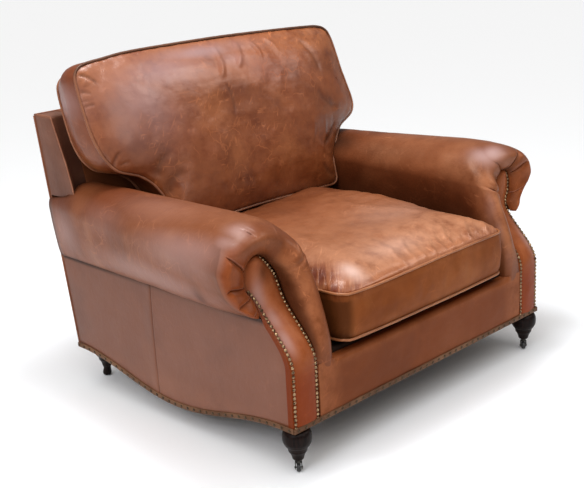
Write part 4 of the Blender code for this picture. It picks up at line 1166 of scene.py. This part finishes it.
# ---- Back cushion -------------------------------------------------------------------
# A loose boxed cushion, cut out at its lower corners to sit over the arms. The piping
# runs round its front and rear edges and the case is filled with feather and down.
back_hide = leather("back_hide", (0.105, 0.021, 0.005), (0.166, 0.038, 0.0095), (0.29, 0.092, 0.03),
                    roughness=0.34, mottle=1.0, scuffs=1.3, gloss=0.44, wax=0.1, sheen=(1.0, 0.8, 0.7),
                    highlight_colour=(0.33, 0.21, 0.205), gathers=90.0)
back_welt_hide = leather("back_welt_hide", (0.15, 0.05, 0.023), (0.23, 0.082, 0.038), (0.36, 0.15, 0.075),
                         roughness=0.42, mottle=0.8, scuffs=0.6)
right_points = [(0.3, 0.465), (0.346, 0.466), (0.363, 0.477), (0.367, 0.5), (0.371, 0.535),
                (0.388, 0.569), (0.406, 0.596), (0.421, 0.616), (0.444, 0.638), (0.476, 0.652),
                (0.503, 0.665), (0.5205, 0.684), (0.5245, 0.712), (0.5185, 0.754), (0.509, 0.81),
                (0.5035, 0.87), (0.497, 0.911), (0.485, 0.937), (0.453, 0.953), (0.38, 0.959),
                (0.2, 0.965)]
left_points = [(-0.3, 0.968), (-0.41, 0.96), (-0.456, 0.956), (-0.484, 0.9505), (-0.501, 0.94),
               (-0.5115, 0.922), (-0.514, 0.89), (-0.5135, 0.8377), (-0.509, 0.772), (-0.495, 0.717),
               (-0.475, 0.6815), (-0.454, 0.661), (-0.424, 0.649), (-0.388, 0.6345), (-0.354, 0.608),
               (-0.334, 0.58), (-0.323, 0.555), (-0.321, 0.52), (-0.325, 0.486), (-0.315, 0.4695),
               (-0.27, 0.465)]
back_outline = smooth_outline(right_points + [(0.0, 0.969)] + left_points + [(0.0, 0.472)], 340)
BACK_MIDDLE_Z = 0.72
back_rings, back_seams = [], []
for share, inset in ((-0.215, 0.15), (-0.205, 0.105), (-0.165, 0.062), (-0.105, 0.03), (-0.045, 0.01),
                     (0.0, 0.001), (0.2, -0.004), (0.42, -0.005), (0.62, 0.002), (0.72, 0.008),
                     (0.84, 0.03), (0.94, 0.07), (0.985, 0.12)):
    x = back_outline[:, 0] * (1.0 - inset / 0.517)
    z = BACK_MIDDLE_Z + (back_outline[:, 1] - BACK_MIDDLE_Z) * (1.0 - inset / 0.25)
    front = 0.16 + 0.3 * (z - 0.45)
    depth = (back_front_y(z) - 0.0065 - front) * share
    drop = 0.3 * np.maximum(depth, 0.0) * smooth((z - 0.55) / 0.25)
    ring = np.column_stack([x, front + depth - 0.3 * drop, z - drop])
    back_rings.append(ring)
    if share in (0.0, 0.72):
        back_seams.append(ring.copy())
cushion, spots, away = stuffed("back_cushion_case", back_rings, back_seams, voxel=0.0085, pressure=4.0,
                               growth=0.006, cap=0.014, ease=7)
facing_out = normals_of(cushion)
face = smooth((-facing_out[:, 1] - 0.25) / 0.5)
back_folds = [((-0.02, 0.955), (-0.045, 0.85), 0.01, 0.0042), ((0.075, 0.958), (0.03, 0.87), 0.01, 0.0036),
              ((0.115, 0.955), (0.15, 0.885), 0.008, 0.0034), ((0.18, 0.955), (0.23, 0.9), 0.008, 0.003),
              ((-0.035, 0.85), (-0.03, 0.74), 0.006, -0.0022), ((0.33, 0.93), (0.375, 0.8), 0.01, -0.0022),
              ((0.42, 0.7), (0.33, 0.78), 0.01, -0.0026), ((0.4, 0.66), (0.3, 0.6), 0.01, -0.0034),
              ((-0.505, 0.93), (-0.452, 0.892), 0.004, -0.004),
              ((-0.498, 0.905), (-0.462, 0.898), 0.006, 0.0016),
              ((-0.512, 0.882), (-0.482, 0.874), 0.0035, -0.0024),
              ((-0.512, 0.856), (-0.49, 0.858), 0.003, -0.0016),
              ((-0.511, 0.842), (-0.478, 0.846), 0.0035, -0.0022),
              ((-0.47, 0.672), (-0.44, 0.722), 0.0045, -0.0026),
              ((-0.455, 0.676), (-0.42, 0.682), 0.004, -0.0022),
              ((-0.345, 0.615), (-0.29, 0.7), 0.014, -0.003), ((-0.325, 0.56), (-0.255, 0.64), 0.014, -0.003),
              ((0.35, 0.49), (0.29, 0.56), 0.01, -0.003), ((0.365, 0.56), (0.27, 0.64), 0.01, 0.0026),
              ((0.34, 0.69), (0.29, 0.58), 0.008, 0.002), ((0.28, 0.7), (0.24, 0.6), 0.007, 0.0016)]
folds = add_folds(spots[:, [0, 2]], back_folds) * face
broad = 0.005 * waves(spots, 4.0, 71.0) + 0.0016 * waves(spots, 12.0, 72.0)
ripples = np.sin((spots[:, 0] + spots[:, 2]) * 150.0 + 9.0 * waves(spots, 7.0, 5.0))
gathers = 0.0005 * ripples * np.exp(-away / 0.018)
spots += facing_out * (folds + gathers + broad * smooth(away / 0.04))[:, None]
move_corners(cushion, spots)
paint(cushion, "wear_and_highlight", 0.3 * face + 0.45 * np.exp(-((spots[:, 2] - 0.92) / 0.05) ** 2) * face
      + 0.35 * np.exp(-away / 0.03) * face)
# painted shade along the seams, in the fold valleys, low down, on the sides and across the top
paint(cushion, "shade_and_dirt", 0.25 * np.exp(-away / 0.004) + np.clip(-folds / 0.008, 0.0, 0.4) * face
      + 0.35 * smooth((0.52 - spots[:, 2]) / 0.06) + 0.3 * (1.0 - face) * smooth((0.7 - spots[:, 2]) / 0.05)
      + face * patches(spots, (((0.0, 0.24, 0.832), (0.13, 0.2, 0.032), 0.24),
                               ((0.22, 0.24, 0.872), (0.07, 0.2, 0.05), 0.2))))
# painted highlights: a broad cool sheen on the left of the face and along the top, and on the rear left edge
paint(cushion, "painted_highlight", face * patches(spots, (((-0.35, 0.23, 0.835), (0.115, 0.2, 0.11), 0.5),
                                               ((-0.24, 0.24, 0.905), (0.16, 0.2, 0.045), 0.62),
                                               ((-0.08, 0.26, 0.938), (0.19, 0.2, 0.02), 0.72),
                                               ((0.03, 0.26, 0.905), (0.06, 0.2, 0.022), 0.42)))
      + patches(spots, (((-0.512, 0.37, 0.85), (0.03, 0.08, 0.045), 0.55),)))
# deeper colour painted as shade on the right of the top
paint(cushion, "deep_tone_and_shade", face * patches(spots, (((0.16, 0.24, 0.865), (0.14, 0.2, 0.055), 0.8),)))
finish_piece(cushion, back_hide)
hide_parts("back_cushion")
for name, seam in zip(("front", "rear"), back_seams):
    path = set_out(seam, (0.0, 0.0, BACK_MIDDLE_Z), 1, 0.001)
    cord = piping(f"back_piping_{name}", path, 0.0038, back_welt_hide, closed=True, wave=0.05)
    paint(cord, "shade_and_dirt", 0.75 * smooth((corners(cord)[:, 2] - 0.915) / 0.025))


# ---- Legs ---------------------------------------------------------------------------
# Turned legs, stained almost black and waxed: a full bulb with two fine rings, a long
# taper and a small collar. The rear pair leans back on small round feet.
dark_wood = patterned("dark_mahogany_finish", (0.004, 0.0022, 0.0018), (0.018, 0.008, 0.006),
                      {"Scale": 260.0, "Detail": 5.0, "Distortion": 0.6},
                      {"Roughness": 0.36, "Specular IOR Level": 0.07, "Coat Weight": 0.04,
                       "Coat Roughness": 0.22},
                      stops=(0.35, 0.72), stretch=(1.0, 1.0, 0.09), vary=0.1, bump=(0.12, 0.0005))

TURNING = ((0.0148, 0.0375), (0.0152, 0.04), (0.0158, 0.043), (0.0176, 0.048), (0.0196, 0.052),
           (0.0215, 0.055), (0.0232, 0.0572), (0.024, 0.059), (0.0238, 0.0606), (0.0247, 0.063),
           (0.0264, 0.068), (0.028, 0.0712), (0.03, 0.0726), (0.0314, 0.0742), (0.0316, 0.0758),
           (0.033, 0.0776), (0.0352, 0.0812), (0.0364, 0.086), (0.0371, 0.092), (0.0372, 0.099),
           (0.0364, 0.105), (0.0348, 0.11), (0.0318, 0.1145), (0.029, 0.116))
FOOT = ((0.0, 0.0), (0.0084, 0.0), (0.01, 0.0008), (0.0118, 0.003), (0.013, 0.0065), (0.0131, 0.01),
        (0.0124, 0.015), (0.0113, 0.021), (0.011, 0.025), (0.0116, 0.03), (0.013, 0.0335), (0.0142, 0.0355))
STEM = ((0.0052, 0.0326), (0.008, 0.0325), (0.0112, 0.0334), (0.0128, 0.035))
LEG_TOP = 0.1345
around = np.linspace(0.0, 2.0 * math.pi, 48, endpoint=False)
for name, side in SIDES:
    for end, centre, lean, profile in (
            ("front", (side * 0.494, -0.466), (0.0, 0.0), STEM + TURNING),
            ("rear", (side * 0.45, 0.375), (-side * 0.01 / LEG_TOP, 0.03 / LEG_TOP), FOOT + TURNING)):
        rings = []
        for radius, z in profile + ((0.0112, 0.1163), (0.0112, 0.118)):
            x, y = (centre[k] + lean[k] * (LEG_TOP - z) for k in (0, 1))
            radius = max(radius, 0.0002)
            rings.append([(x + radius * math.cos(a), y + radius * math.sin(a), z) for a in around])
        leg = grid_piece(f"{end}_leg_{name}_turned", np.array(rings), wrap=True, caps=True)
        finish_piece(leg, dark_wood, angle=38)
        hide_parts(f"{end}_leg_{name}")


# ---- Hidden frame, springs and casters ----------------------------------------------
# Sawn beech rails and posts, zigzag springs, jute webs and a black dust cloth, kept as
# they are, and the small blackened casters with their plain wheels.
carried = {slot: patterned(f"{slot}_finish", low, high, {"Scale": scale, "Detail": 5.0},
                           {"Metallic": metal, "Roughness": rough}, stops=(0.34, 0.7), stretch=stretch,
                           vary=0.08, bump=(bump, 0.0006))
           for slot, low, high, scale, stretch, rough, metal, bump in (
               ("beech", (0.36, 0.22, 0.11), (0.58, 0.41, 0.24), 60.0, (1.0, 0.1, 1.0), 0.7, 0.0, 0.2),
               ("spring_steel", (0.16, 0.15, 0.14), (0.42, 0.42, 0.43), 90.0, None, 0.4, 1.0, 0.2),
               ("jute_web", (0.25, 0.17, 0.09), (0.52, 0.4, 0.24), 420.0, None, 0.9, 0.0, 0.6),
               ("black_cloth", (0.01, 0.01, 0.011), (0.045, 0.045, 0.048), 700.0, None, 0.9, 0.0, 0.5),
               ("dark_iron", (0.012, 0.012, 0.012), (0.09, 0.085, 0.075), 180.0, None, 0.42, 1.0, 0.2),
               ("wheel_black", (0.01, 0.01, 0.01), (0.035, 0.035, 0.035), 220.0, None, 0.5, 0.0, 0.2))}
for row in frame["record"]["subparts"]:
    node = frame["nodes"][row["node"]]
    finish = carried.get(row["material_slot"])
    if finish and not node.hide_render:
        node.data.materials.clear()
        node.data.materials.append(finish)
